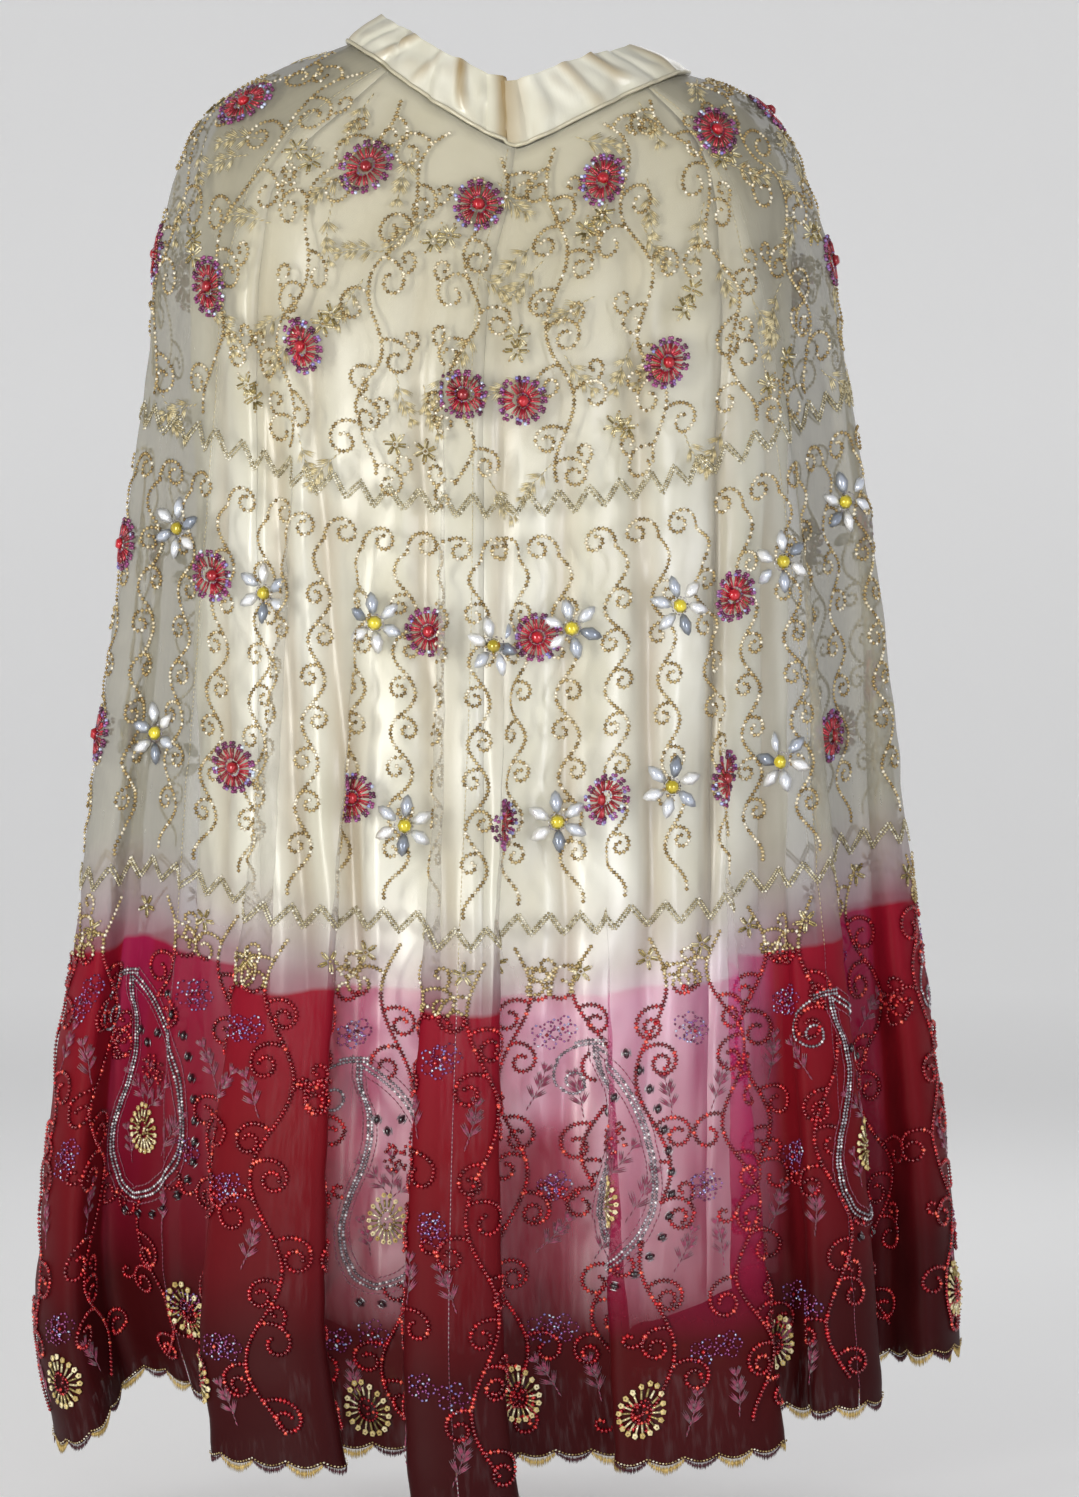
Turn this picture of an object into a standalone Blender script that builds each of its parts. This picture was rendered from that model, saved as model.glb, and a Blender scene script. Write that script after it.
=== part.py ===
"""A lehenga skirt, hollow and filled out as it is worn, in metres with +Z up.

The front faces -Y. The origin is the centre of the waistband ring, where the wearer
holds the skirt up. A satin waistband holds two skirts that hang from one seam: a
straight satin lining, and over it a wider sheer skirt that stands in deep folds.
Each skirt is a set of cut panels, 0.3 mm apart at their seams, and a narrow fringe
runs under the hem of the sheer one.
"""

import math
from collections import namedtuple

import bmesh
import bpy
import numpy as np

GAP = 0.0003
SEAM_STRIP = 0.0015
SHEER_WALL = 0.001
LINING_WALL = 0.0012
BAND_WALL = 0.0026
FRINGE_WALL = 0.002
FRINGE_REACH = 0.010
FRINGE_GAP = 0.0008

# The plan of every ring is an ellipse. Angles go round it in degrees from the centre
# front, positive to the viewer's right, so 90 is the right side and 180 the centre back.
# A ring reaches `left` and `right` of the middle and `depth` to the front and back, and
# its height is given at the front, the back and the two sides.
Ring = namedtuple("Ring", "v left right depth front_z back_z left_z right_z")

# v is the distance down the cloth from the waist seam, in metres at the centre front.
SHEER_RINGS = [
    Ring(0.00, 0.129, 0.128, 0.090, -0.047, -0.041, 0.042, 0.019),
    Ring(0.04, 0.177, 0.167, 0.104, -0.086, -0.080, 0.024, 0.006),
    Ring(0.09, 0.233, 0.202, 0.118, -0.134, -0.127, -0.009, -0.031),
    Ring(0.15, 0.263, 0.225, 0.130, -0.192, -0.184, -0.080, -0.091),
    Ring(0.25, 0.281, 0.248, 0.146, -0.289, -0.280, -0.207, -0.194),
    Ring(0.40, 0.303, 0.273, 0.165, -0.433, -0.422, -0.367, -0.349),
    Ring(0.60, 0.333, 0.296, 0.189, -0.625, -0.611, -0.576, -0.556),
    Ring(0.80, 0.360, 0.320, 0.211, -0.812, -0.798, -0.764, -0.745),
    Ring(0.90, 0.366, 0.329, 0.220, -0.903, -0.889, -0.858, -0.838),
    Ring(1.00, 0.352, 0.333, 0.228, -0.992, -0.977, -0.930, -0.925),
]
LINING_RINGS = [
    Ring(0.00, 0.1250, 0.1240, 0.0860, -0.047, -0.041, 0.042, 0.019),
    Ring(0.04, 0.1710, 0.1610, 0.0990, -0.090, -0.084, 0.018, 0.000),
    Ring(0.09, 0.2240, 0.1930, 0.1120, -0.137, -0.130, -0.017, -0.038),
    Ring(0.15, 0.2420, 0.2020, 0.1210, -0.192, -0.184, -0.084, -0.094),
    Ring(0.30, 0.2430, 0.2010, 0.1290, -0.337, -0.328, -0.250, -0.240),
    Ring(0.60, 0.2400, 0.1970, 0.1370, -0.625, -0.611, -0.560, -0.555),
    Ring(0.90, 0.2350, 0.1880, 0.1420, -0.915, -0.900, -0.866, -0.872),
]
BAND_RINGS = [
    Ring(0.000, 0.1280, 0.1270, 0.0885, -0.0455, -0.0395, 0.0435, 0.0205),
    Ring(0.014, 0.1225, 0.1200, 0.0865, -0.0300, -0.0240, 0.0505, 0.0265),
    Ring(0.030, 0.1145, 0.1090, 0.0840, -0.0145, -0.0085, 0.0565, 0.0320),
    Ring(0.048, 0.1040, 0.0930, 0.0800, 0.0040, 0.0095, 0.0625, 0.0380),
]
# The distances down the cloth at which each skirt's solid has a row of points.
SHEER_ROWS = [0.0, 0.035, 0.08, 0.14, 0.24, 0.42, 0.64, 0.85, 1.0]
LINING_ROWS = [0.0, 0.035, 0.08, 0.15, 0.35, 0.62, 0.9]

# The sheer's valleys sit inside the plain outline by nothing down to FOLDS_FROM, and by
# VALLEY_AT_HEM at the hem.
FOLDS_FROM = 0.15
VALLEY_AT_HEM = 0.063

# One row for each standing fold of the sheer skirt. The crest and the neck are half
# widths, and a neck narrower than its crest tucks cloth behind it. `lean` moves the
# crest sideways for its height, `start` is where the fold begins on the way down, and
# `drop` is how much lower its hem hangs.
Fold = namedtuple("Fold", "angle crest neck height lean start drop")
SHEER_FOLDS = [
    Fold(-168.0, 0.040, 0.010, 0.058, 0.10, 0.22, 0.012),
    Fold(-143.0, 0.034, 0.010, 0.050, -0.10, 0.30, 0.004),
    Fold(-118.0, 0.036, 0.011, 0.060, 0.15, 0.18, 0.016),
    Fold(-74.0, 0.034, 0.010, 0.063, 0.05, 0.15, 0.062),
    Fold(-27.0, 0.048, 0.010, 0.063, -0.20, 0.08, 0.014),
    Fold(-3.0, 0.036, 0.010, 0.063, -0.20, 0.10, 0.032),
    Fold(25.0, 0.060, 0.032, 0.052, 0.05, 0.22, 0.010),
    Fold(49.0, 0.029, 0.009, 0.060, -0.05, 0.12, 0.006),
    Fold(76.0, 0.031, 0.009, 0.063, 0.00, 0.16, 0.000),
    Fold(101.0, 0.027, 0.009, 0.058, -0.10, 0.20, 0.016),
    Fold(128.0, 0.034, 0.010, 0.060, 0.10, 0.20, 0.006),
    Fold(150.0, 0.036, 0.010, 0.052, 0.00, 0.26, 0.014),
    Fold(172.0, 0.026, 0.009, 0.060, -0.12, 0.16, 0.008),
]

# The lining only ripples: each row is a soft ridge, or a trough where it is negative.
Ripple = namedtuple("Ripple", "angle half_width height start drop")
LINING_RIPPLES = [
    Ripple(-150.0, 0.050, 0.009, 0.30, 0.006),
    Ripple(-112.0, 0.040, -0.008, 0.25, 0.000),
    Ripple(-62.0, 0.046, 0.007, 0.20, 0.000),
    Ripple(-22.0, 0.030, 0.011, 0.35, 0.032),
    Ripple(-4.0, 0.030, -0.008, 0.12, 0.010),
    Ripple(24.0, 0.044, 0.008, 0.30, 0.008),
    Ripple(55.0, 0.032, -0.007, 0.30, 0.000),
    Ripple(84.0, 0.040, 0.008, 0.22, 0.004),
    Ripple(125.0, 0.046, -0.008, 0.30, 0.000),
    Ripple(163.0, 0.052, 0.010, 0.20, 0.008),
]
BAND_RIPPLES = [
    Ripple(-52.0, 0.014, -0.0035, 0.0, 0.0),
    Ripple(-27.0, 0.012, 0.0040, 0.0, 0.0),
    Ripple(-4.0, 0.013, -0.0090, 0.0, 0.0),
    Ripple(9.0, 0.011, 0.0035, 0.0, 0.0),
    Ripple(38.0, 0.014, -0.0030, 0.0, 0.0),
    Ripple(120.0, 0.015, -0.0040, 0.0, 0.0),
    Ripple(176.0, 0.013, -0.0070, 0.0, 0.0),
    Ripple(-128.0, 0.014, 0.0035, 0.0, 0.0),
]

# Where the panels are sewn together, going round from the centre back.
SHEER_SEAMS = [-180.0, -118.0, -52.0, -3.0, 49.0, 128.0, 180.0]
LINING_SEAMS = [-180.0, -130.0, -50.0, -1.0, 50.0, 130.0, 180.0]
BAND_SEAMS = [-90.0, 90.0, 270.0]
SKIRT_NAMES = ["back_left", "side_left", "front_left", "front_right", "side_right", "back_right"]
BAND_NAMES = ["front", "back"]

FOLD_STEPS = 10
LINING_STEP = 0.028
BAND_STEP = 0.016
VALLEY_STEP = 0.030

# The ellipse along which fold widths are measured.
PLAN_HALF_WIDTH = 0.30
PLAN_DEPTH = 0.165


def arc_table(half_width, depth):
    """Angles all round, and the distance along the plan ellipse from the centre front."""
    angles = np.linspace(-200.0, 280.0, 2401)
    radians = np.radians(angles)
    speed = np.hypot(half_width * np.cos(radians), depth * np.sin(radians))
    steps = (speed[1:] + speed[:-1]) / 2 * np.diff(radians)
    along = np.concatenate([[0.0], np.cumsum(steps)])
    return angles, along - np.interp(0.0, angles, along)


ARC_ANGLES, ARC_ALONG = arc_table(PLAN_HALF_WIDTH, PLAN_DEPTH)
BAND_ARC_ANGLES, BAND_ARC_ALONG = arc_table(0.128, 0.089)


def along_plan(angle):
    return np.interp(angle, ARC_ANGLES, ARC_ALONG)


def angle_at(along):
    return np.interp(along, ARC_ALONG, ARC_ANGLES)


ROUND = along_plan(180.0) - along_plan(-180.0)


def wrapped(distance, whole):
    """A distance round the ring, brought to between minus and plus half of it."""
    return (distance + whole / 2) % whole - whole / 2


def smooth_column(rings, name, v):
    """A column of the ring table at v, on a curve that passes through every row."""
    xs = np.array([ring.v for ring in rings])
    ys = np.array([getattr(ring, name) for ring in rings])
    slopes = np.gradient(ys, xs)
    i = int(np.clip(np.searchsorted(xs, v, side="right") - 1, 0, len(xs) - 2))
    step = xs[i + 1] - xs[i]
    t = (v - xs[i]) / step
    rise = t * t * (3 - 2 * t)
    ease_out = t * (1 - t) ** 2 * step * slopes[i]
    ease_in = t * t * (t - 1) * step * slopes[i + 1]
    return ys[i] * (1 - rise) + ys[i + 1] * rise + ease_out + ease_in


def ring_points(rings, v, angles, waist_point):
    """Points of a plain ring, with its outward and sideways directions in plan.

    Near the waist the height falls in a V from the sides to the centre; waist_point is
    how far down that V lasts.
    """
    left, right, depth, front_z, back_z, left_z, right_z = (
        smooth_column(rings, name, v) for name in Ring._fields[1:]
    )
    turn = np.radians(angles)
    half = (left + right) / 2
    centre = (right - left) / 2
    x = centre + half * np.sin(turn)
    y = -depth * np.cos(turn)
    front_share = (1 + np.cos(turn)) / 2
    right_share = (1 + np.sin(turn)) / 2
    middle_z = back_z + (front_z - back_z) * front_share
    side_z = left_z + (right_z - left_z) * right_share
    power = 1.2 + 0.8 * min(1.0, v / waist_point)
    z = middle_z + (side_z - middle_z) * np.abs(np.sin(turn)) ** power
    sideways = np.stack([half * np.cos(turn), depth * np.sin(turn)], axis=1)
    sideways /= np.linalg.norm(sideways, axis=1)[:, None]
    outward = np.stack([sideways[:, 1], -sideways[:, 0]], axis=1)
    return np.stack([x, y, z], axis=1), outward, sideways


def share_of_fold(v, start):
    return max(0.0, (v - start) / (1.0 - start))


def sheer_ring(v, angles):
    """The sheer skirt at v, with its standing folds."""
    points, outward, sideways = ring_points(SHEER_RINGS, v, angles, 0.15)
    out = np.full(len(angles), -VALLEY_AT_HEM * share_of_fold(v, FOLDS_FROM))
    side = np.zeros(len(angles))
    down = np.zeros(len(angles))
    for fold in SHEER_FOLDS:
        window = fold.crest + fold.neck
        tuck = fold.crest - 0.27 * window
        place = wrapped(along_plan(angles) - along_plan(fold.angle), ROUND) / window
        inside = np.abs(place) < 1
        hump = np.where(inside, (1 + np.cos(np.pi * place)) / 2, 0.0)
        swing = np.where(inside, np.sin(2 * np.pi * place), 0.0)
        share = share_of_fold(v, fold.start)
        out += fold.height * share * hump
        side += tuck * share * swing + fold.lean * fold.height * share * hump
        down += fold.drop * share**2 * hump
    points[:, :2] += outward * out[:, None] + sideways * side[:, None]
    points[:, 2] -= down
    return points


def rippled_ring(rings, ripples, v, angles, waist_point, along, whole):
    """A ring of the lining or the waistband, with its soft ridges and troughs."""
    points, outward, _ = ring_points(rings, v, angles, waist_point)
    out = np.zeros(len(angles))
    down = np.zeros(len(angles))
    for ripple in ripples:
        place = wrapped(along(angles) - along(ripple.angle), whole) / ripple.half_width
        hump = np.where(np.abs(place) < 1, (1 + np.cos(np.pi * place)) / 2, 0.0)
        share = 1.0 if ripple.start == 0 else share_of_fold(v, ripple.start)
        out += ripple.height * share * hump
        down += ripple.drop * share**2 * hump
    points[:, :2] += outward * out[:, None]
    points[:, 2] -= down
    return points


def lining_ring(v, angles):
    return rippled_ring(LINING_RINGS, LINING_RIPPLES, v, angles, 0.15, along_plan, ROUND)


def band_along(angle):
    return np.interp(angle, BAND_ARC_ANGLES, BAND_ARC_ALONG)


BAND_ROUND = band_along(180.0) - band_along(-180.0)


def band_ring(v, angles):
    return rippled_ring(BAND_RINGS, BAND_RIPPLES, v, angles, 10.0, band_along, BAND_ROUND)


def sheer_angles():
    """Angles where the sheer skirt is sampled: closely on a fold, thinly in a valley."""
    stops = []
    for fold in SHEER_FOLDS:
        window = fold.crest + fold.neck
        middle = along_plan(fold.angle)
        stops.extend(middle + np.linspace(-window, window, FOLD_STEPS + 1))
    stops = sorted(stops)
    stops.append(stops[0] + ROUND)
    filled = []
    for here, after in zip(stops, stops[1:]):
        pieces = max(1, math.ceil((after - here) / VALLEY_STEP))
        filled.extend(np.linspace(here, after, pieces, endpoint=False))
    return np.sort((angle_at(np.array(filled)) + 180.0) % 360.0 - 180.0)


def between(samples, first, last, along):
    """The samples from one seam to the next, ending half a gap short of each seam.

    A narrow strip of faces follows each seam, so that the edge of the wall stands
    square to the cloth there and clears its neighbour.
    """
    start, end = along(first), along(last)
    inner = [a for a in samples if start + 3 * SEAM_STRIP < along(a) < end - 3 * SEAM_STRIP]
    per_metre = (last - first) / (end - start)
    edge = GAP / 2 * per_metre
    strip = SEAM_STRIP * per_metre
    return np.array([first + edge, first + strip, *inner, last - strip, last - edge])


def even_angles(first, last, step, along):
    count = math.ceil((along(last) - along(first)) / step)
    return np.linspace(first, last, count + 1)[1:-1]


def fabric(name, colour, roughness):
    """A cloth's material; the colour is linear red, green and blue."""
    made = bpy.data.materials.new(name)
    made.use_nodes = True
    shader = made.node_tree.nodes["Principled BSDF"]
    shader.inputs["Base Color"].default_value = (*colour, 1.0)
    shader.inputs["Roughness"].default_value = roughness
    shader.inputs["Metallic"].default_value = 0.0
    made.diffuse_color = (*colour, 1.0)
    return made


def cloth_panel(name, rings, wall, material, collection):
    """A panel through rings of equal count, the lowest first, given its wall."""
    bm = bmesh.new()
    across = len(rings[0]) - 1
    rows = len(rings) - 1
    bmesh.ops.create_grid(bm, x_segments=across, y_segments=rows, size=1.0)
    for vert in bm.verts:
        i = round((vert.co.x + 1) / 2 * across)
        j = round((vert.co.y + 1) / 2 * rows)
        vert.co = rings[j][i]
    mesh = bpy.data.meshes.new(name)
    bm.to_mesh(mesh)
    bm.free()
    mesh.materials.append(material)
    panel = bpy.data.objects.new(name, mesh)
    collection.objects.link(panel)
    solidify = panel.modifiers.new("wall", "SOLIDIFY")
    solidify.thickness = wall
    solidify.offset = 0.0
    return panel


def sheer_panels(material, collection):
    samples = sheer_angles()
    for name, first, last in zip(SKIRT_NAMES, SHEER_SEAMS, SHEER_SEAMS[1:]):
        angles = between(samples, first, last, along_plan)
        rings = [sheer_ring(v, angles) for v in reversed(SHEER_ROWS)]
        cloth_panel(f"sheer_{name}", rings, SHEER_WALL, material, collection)


def lining_panels(material, collection):
    for name, first, last in zip(SKIRT_NAMES, LINING_SEAMS, LINING_SEAMS[1:]):
        samples = even_angles(first, last, LINING_STEP, along_plan)
        angles = between(samples, first, last, along_plan)
        rings = [lining_ring(v, angles) for v in reversed(LINING_ROWS)]
        cloth_panel(f"lining_{name}", rings, LINING_WALL, material, collection)


def waistband(material, collection):
    heights = [ring.v for ring in BAND_RINGS]
    for name, first, last in zip(BAND_NAMES, BAND_SEAMS, BAND_SEAMS[1:]):
        samples = even_angles(first, last, BAND_STEP, band_along)
        angles = between(samples, first, last, band_along)
        rings = [band_ring(v, angles) for v in heights]
        cloth_panel(f"waistband_{name}", rings, BAND_WALL, material, collection)


def hem_fringes(material, collection):
    """The fringe of each sheer panel: a strip that carries on below its hem."""
    samples = sheer_angles()
    for name, first, last in zip(SKIRT_NAMES, SHEER_SEAMS, SHEER_SEAMS[1:]):
        angles = between(samples, first, last, along_plan)
        top = sheer_ring(1.0, angles) - (0.0, 0.0, FRINGE_GAP)
        rings = [top - (0.0, 0.0, FRINGE_REACH), top]
        cloth_panel(f"fringe_{name}", rings, FRINGE_WALL, material, collection)


def main():
    for old in list(bpy.data.objects):
        bpy.data.objects.remove(old, do_unlink=True)
    skirt = bpy.data.collections.new("lehenga_skirt")
    bpy.context.scene.collection.children.link(skirt)
    satin = fabric("cream_satin", (0.80, 0.75, 0.58), 0.35)
    net = fabric("dip_dyed_net", (0.36, 0.02, 0.05), 0.6)
    thread = fabric("gold_fringe_thread", (0.45, 0.33, 0.14), 0.5)
    waistband(satin, skirt)
    lining_panels(satin, skirt)
    sheer_panels(net, skirt)
    hem_fringes(thread, skirt)


main()
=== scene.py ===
"""The looks of a lehenga skirt: satin, dip-dyed sheer cloth, beadwork and a fringe.

Everything is in metres with +Z up, and the front faces -Y. A place on a cloth is
(angle, v): degrees round the plan ellipse from the centre front, positive to the
viewer's right, and the distance down the cloth from the waist seam. A motif is laid
out flat, in metres to the right and down from its own place, and then sewn on.
"""

import math
from collections import namedtuple

import bmesh
import bpy
import numpy as np
from mathutils import Matrix, Vector


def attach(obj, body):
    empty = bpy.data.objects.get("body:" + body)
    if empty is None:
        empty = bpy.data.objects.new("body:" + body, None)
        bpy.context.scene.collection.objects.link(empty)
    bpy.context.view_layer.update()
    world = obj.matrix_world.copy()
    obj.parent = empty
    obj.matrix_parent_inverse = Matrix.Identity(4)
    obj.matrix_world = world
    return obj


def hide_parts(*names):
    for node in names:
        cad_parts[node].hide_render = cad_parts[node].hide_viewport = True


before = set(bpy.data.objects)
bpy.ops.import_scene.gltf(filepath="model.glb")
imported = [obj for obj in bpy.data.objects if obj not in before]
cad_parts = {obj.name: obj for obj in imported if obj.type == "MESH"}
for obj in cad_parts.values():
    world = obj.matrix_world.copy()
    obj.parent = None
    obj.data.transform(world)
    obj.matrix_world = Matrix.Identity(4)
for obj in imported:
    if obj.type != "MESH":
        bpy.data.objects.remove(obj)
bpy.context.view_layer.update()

# ---------------------------------------------------------------- the cloth's forms

GAP = 0.0003  # between two panels at a seam
LINING_WALL = 0.0006
BAND_WALL = 0.0024
LINING_END = 0.90  # how far down the cloth the satin ends
BAND_DEEP = 0.048  # from the waist seam up to the waistband's top edge

Ring = namedtuple("Ring", "v left right depth front_z back_z left_z right_z")
SHEER_RINGS = [
    Ring(0.00, 0.129, 0.128, 0.090, -0.047, -0.041, 0.042, 0.019),
    Ring(0.04, 0.177, 0.167, 0.104, -0.086, -0.080, 0.024, 0.006),
    Ring(0.09, 0.233, 0.202, 0.118, -0.134, -0.127, -0.009, -0.031),
    Ring(0.15, 0.263, 0.225, 0.130, -0.192, -0.184, -0.080, -0.091),
    Ring(0.25, 0.281, 0.248, 0.146, -0.289, -0.280, -0.207, -0.194),
    Ring(0.40, 0.303, 0.273, 0.165, -0.433, -0.422, -0.367, -0.349),
    Ring(0.60, 0.333, 0.296, 0.189, -0.625, -0.611, -0.576, -0.556),
    Ring(0.80, 0.360, 0.320, 0.211, -0.812, -0.798, -0.764, -0.745),
    Ring(0.90, 0.366, 0.329, 0.220, -0.903, -0.889, -0.858, -0.838),
    Ring(1.00, 0.352, 0.333, 0.228, -0.992, -0.977, -0.930, -0.925),
]
LINING_RINGS = [
    Ring(0.00, 0.1250, 0.1240, 0.0860, -0.047, -0.041, 0.042, 0.019),
    Ring(0.04, 0.1710, 0.1610, 0.0990, -0.090, -0.084, 0.018, 0.000),
    Ring(0.09, 0.2240, 0.1930, 0.1120, -0.137, -0.130, -0.017, -0.038),
    Ring(0.15, 0.2420, 0.2020, 0.1210, -0.192, -0.184, -0.084, -0.094),
    Ring(0.30, 0.2430, 0.2010, 0.1290, -0.337, -0.328, -0.250, -0.240),
    Ring(0.60, 0.2400, 0.1970, 0.1370, -0.625, -0.611, -0.560, -0.555),
    Ring(0.90, 0.2350, 0.1880, 0.1420, -0.915, -0.900, -0.866, -0.872),
]
BAND_RINGS = [
    Ring(0.000, 0.1280, 0.1270, 0.0885, -0.0455, -0.0395, 0.0435, 0.0205),
    Ring(0.014, 0.1225, 0.1200, 0.0865, -0.0300, -0.0240, 0.0505, 0.0265),
    Ring(0.030, 0.1145, 0.1090, 0.0840, -0.0145, -0.0085, 0.0565, 0.0320),
    Ring(0.048, 0.1040, 0.0930, 0.0800, 0.0040, 0.0095, 0.0625, 0.0380),
]
FOLDS_FROM = 0.15
VALLEY_AT_HEM = 0.063

Fold = namedtuple("Fold", "angle crest neck height lean start drop")
SHEER_FOLDS = [
    Fold(-168.0, 0.040, 0.010, 0.058, 0.10, 0.22, 0.012),
    Fold(-143.0, 0.034, 0.010, 0.050, -0.10, 0.30, 0.004),
    Fold(-118.0, 0.036, 0.011, 0.060, 0.15, 0.18, 0.016),
    Fold(-74.0, 0.034, 0.010, 0.063, 0.05, 0.15, 0.062),
    Fold(-27.0, 0.048, 0.010, 0.063, -0.20, 0.08, 0.014),
    Fold(-3.0, 0.036, 0.010, 0.063, -0.20, 0.10, 0.032),
    Fold(25.0, 0.060, 0.032, 0.052, 0.05, 0.22, 0.010),
    Fold(49.0, 0.029, 0.009, 0.060, -0.05, 0.12, 0.006),
    Fold(76.0, 0.031, 0.009, 0.063, 0.00, 0.16, 0.000),
    Fold(101.0, 0.027, 0.009, 0.058, -0.10, 0.20, 0.016),
    Fold(128.0, 0.034, 0.010, 0.060, 0.10, 0.20, 0.006),
    Fold(150.0, 0.036, 0.010, 0.052, 0.00, 0.26, 0.014),
    Fold(172.0, 0.026, 0.009, 0.060, -0.12, 0.16, 0.008),
]

Ripple = namedtuple("Ripple", "angle half_width height start drop")
LINING_RIPPLES = [
    Ripple(-150.0, 0.050, 0.009, 0.30, 0.006),
    Ripple(-112.0, 0.040, -0.008, 0.25, 0.000),
    Ripple(-62.0, 0.046, 0.007, 0.20, 0.000),
    Ripple(-22.0, 0.030, 0.011, 0.35, 0.032),
    Ripple(-4.0, 0.030, -0.008, 0.12, 0.010),
    Ripple(24.0, 0.044, 0.008, 0.30, 0.008),
    Ripple(55.0, 0.032, -0.007, 0.30, 0.000),
    Ripple(84.0, 0.040, 0.008, 0.22, 0.004),
    Ripple(125.0, 0.046, -0.008, 0.30, 0.000),
    Ripple(163.0, 0.052, 0.010, 0.20, 0.008),
]
BAND_RIPPLES = [
    Ripple(-52.0, 0.014, -0.0035, 0.0, 0.0),
    Ripple(-27.0, 0.012, 0.0040, 0.0, 0.0),
    Ripple(-4.0, 0.013, -0.0090, 0.0, 0.0),
    Ripple(9.0, 0.011, 0.0035, 0.0, 0.0),
    Ripple(38.0, 0.014, -0.0030, 0.0, 0.0),
    Ripple(120.0, 0.015, -0.0040, 0.0, 0.0),
    Ripple(176.0, 0.013, -0.0070, 0.0, 0.0),
    Ripple(-128.0, 0.014, 0.0035, 0.0, 0.0),
]

SHEER_SEAMS = [-180.0, -118.0, -52.0, -3.0, 49.0, 128.0, 180.0]
LINING_SEAMS = [-180.0, -130.0, -50.0, -1.0, 50.0, 130.0, 180.0]
BAND_SEAMS = [-90.0, 90.0, 270.0]
SKIRT_NAMES = ["back_left", "side_left", "front_left", "front_right", "side_right", "back_right"]
BAND_NAMES = ["front", "back"]
# Each panel's name with the angles of its two seams.
SHEER_PANELS = list(zip(SKIRT_NAMES, SHEER_SEAMS, SHEER_SEAMS[1:]))
LINING_PANELS = list(zip(SKIRT_NAMES, LINING_SEAMS, LINING_SEAMS[1:]))
BAND_HALVES = list(zip(BAND_NAMES, BAND_SEAMS, BAND_SEAMS[1:]))

# The smaller creases that lie over those forms. `slant` is how far a crease wanders
# round the skirt from its top to its bottom; one whose bottom is past the hem runs off it.
Crease = namedtuple("Crease", "angle half_width height top bottom slant")
SHEER_CREASES = [
    Crease(-82.0, 0.016, 0.0035, 0.06, 0.60, 0.020),
    Crease(-63.0, 0.012, 0.0030, 0.10, 1.25, -0.012),
    Crease(-52.0, 0.010, 0.0045, 0.12, 1.20, 0.010),
    Crease(-44.0, 0.014, -0.0030, 0.03, 0.42, 0.014),
    Crease(-35.0, 0.010, 0.0032, 0.04, 0.30, -0.020),
    Crease(-24.0, 0.012, -0.0030, 0.02, 0.36, 0.026),
    Crease(-15.0, 0.009, 0.0036, 0.14, 0.60, 0.006),
    Crease(-7.0, 0.008, 0.0048, 0.03, 0.50, 0.004),
    Crease(-2.0, 0.007, -0.0050, 0.04, 0.56, 0.002),
    Crease(4.0, 0.008, 0.0050, 0.05, 0.52, -0.006),
    Crease(12.0, 0.012, -0.0028, 0.02, 0.34, -0.024),
    Crease(22.0, 0.009, 0.0030, 0.05, 0.40, 0.018),
    Crease(31.0, 0.011, -0.0030, 0.10, 0.60, 0.010),
    Crease(43.0, 0.010, 0.0035, 0.04, 0.44, -0.012),
    Crease(58.0, 0.010, 0.0045, 0.14, 1.20, 0.008),
    Crease(68.0, 0.013, -0.0030, 0.05, 0.60, 0.010),
    Crease(88.0, 0.012, 0.0036, 0.06, 0.70, -0.010),
    Crease(112.0, 0.014, -0.0034, 0.04, 0.60, 0.020),
    Crease(138.0, 0.011, 0.0036, 0.06, 1.20, -0.010),
    Crease(160.0, 0.013, -0.0032, 0.03, 0.46, 0.014),
    Crease(-176.0, 0.009, -0.0045, 0.04, 0.56, 0.004),
    Crease(-155.0, 0.012, 0.0034, 0.05, 0.52, -0.016),
    Crease(-131.0, 0.012, -0.0034, 0.04, 0.70, 0.012),
    Crease(-104.0, 0.013, 0.0036, 0.08, 1.20, 0.012),
]
LINING_CREASES = [
    Crease(-66.0, 0.022, -0.0070, 0.05, 0.90, 0.020),
    Crease(-50.0, 0.026, -0.0110, 0.06, 1.30, 0.105),
    Crease(-38.0, 0.020, -0.0090, 0.10, 0.70, 0.060),
    Crease(-28.0, 0.024, -0.0080, 0.30, 1.30, 0.020),
    Crease(-14.0, 0.018, -0.0090, 0.08, 0.55, 0.015),
    Crease(-8.0, 0.020, -0.0100, 0.40, 1.20, 0.012),
    Crease(3.0, 0.018, -0.0080, 0.05, 0.50, -0.010),
    Crease(14.0, 0.020, -0.0090, 0.12, 1.20, 0.015),
    Crease(27.0, 0.022, -0.0080, 0.05, 0.60, 0.030),
    Crease(34.0, 0.018, -0.0090, 0.30, 1.30, -0.014),
    Crease(52.0, 0.024, -0.0090, 0.06, 0.90, -0.020),
    Crease(70.0, 0.026, -0.0100, 0.10, 1.30, 0.012),
    Crease(105.0, 0.026, -0.0110, 0.06, 1.20, 0.020),
    Crease(140.0, 0.024, -0.0100, 0.08, 1.30, -0.024),
    Crease(176.0, 0.022, -0.0110, 0.05, 1.10, 0.014),
    Crease(-160.0, 0.024, -0.0090, 0.10, 1.30, 0.030),
    Crease(-128.0, 0.026, -0.0110, 0.05, 0.95, -0.018),
    Crease(-95.0, 0.024, -0.0090, 0.10, 1.30, 0.016),
]
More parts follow.
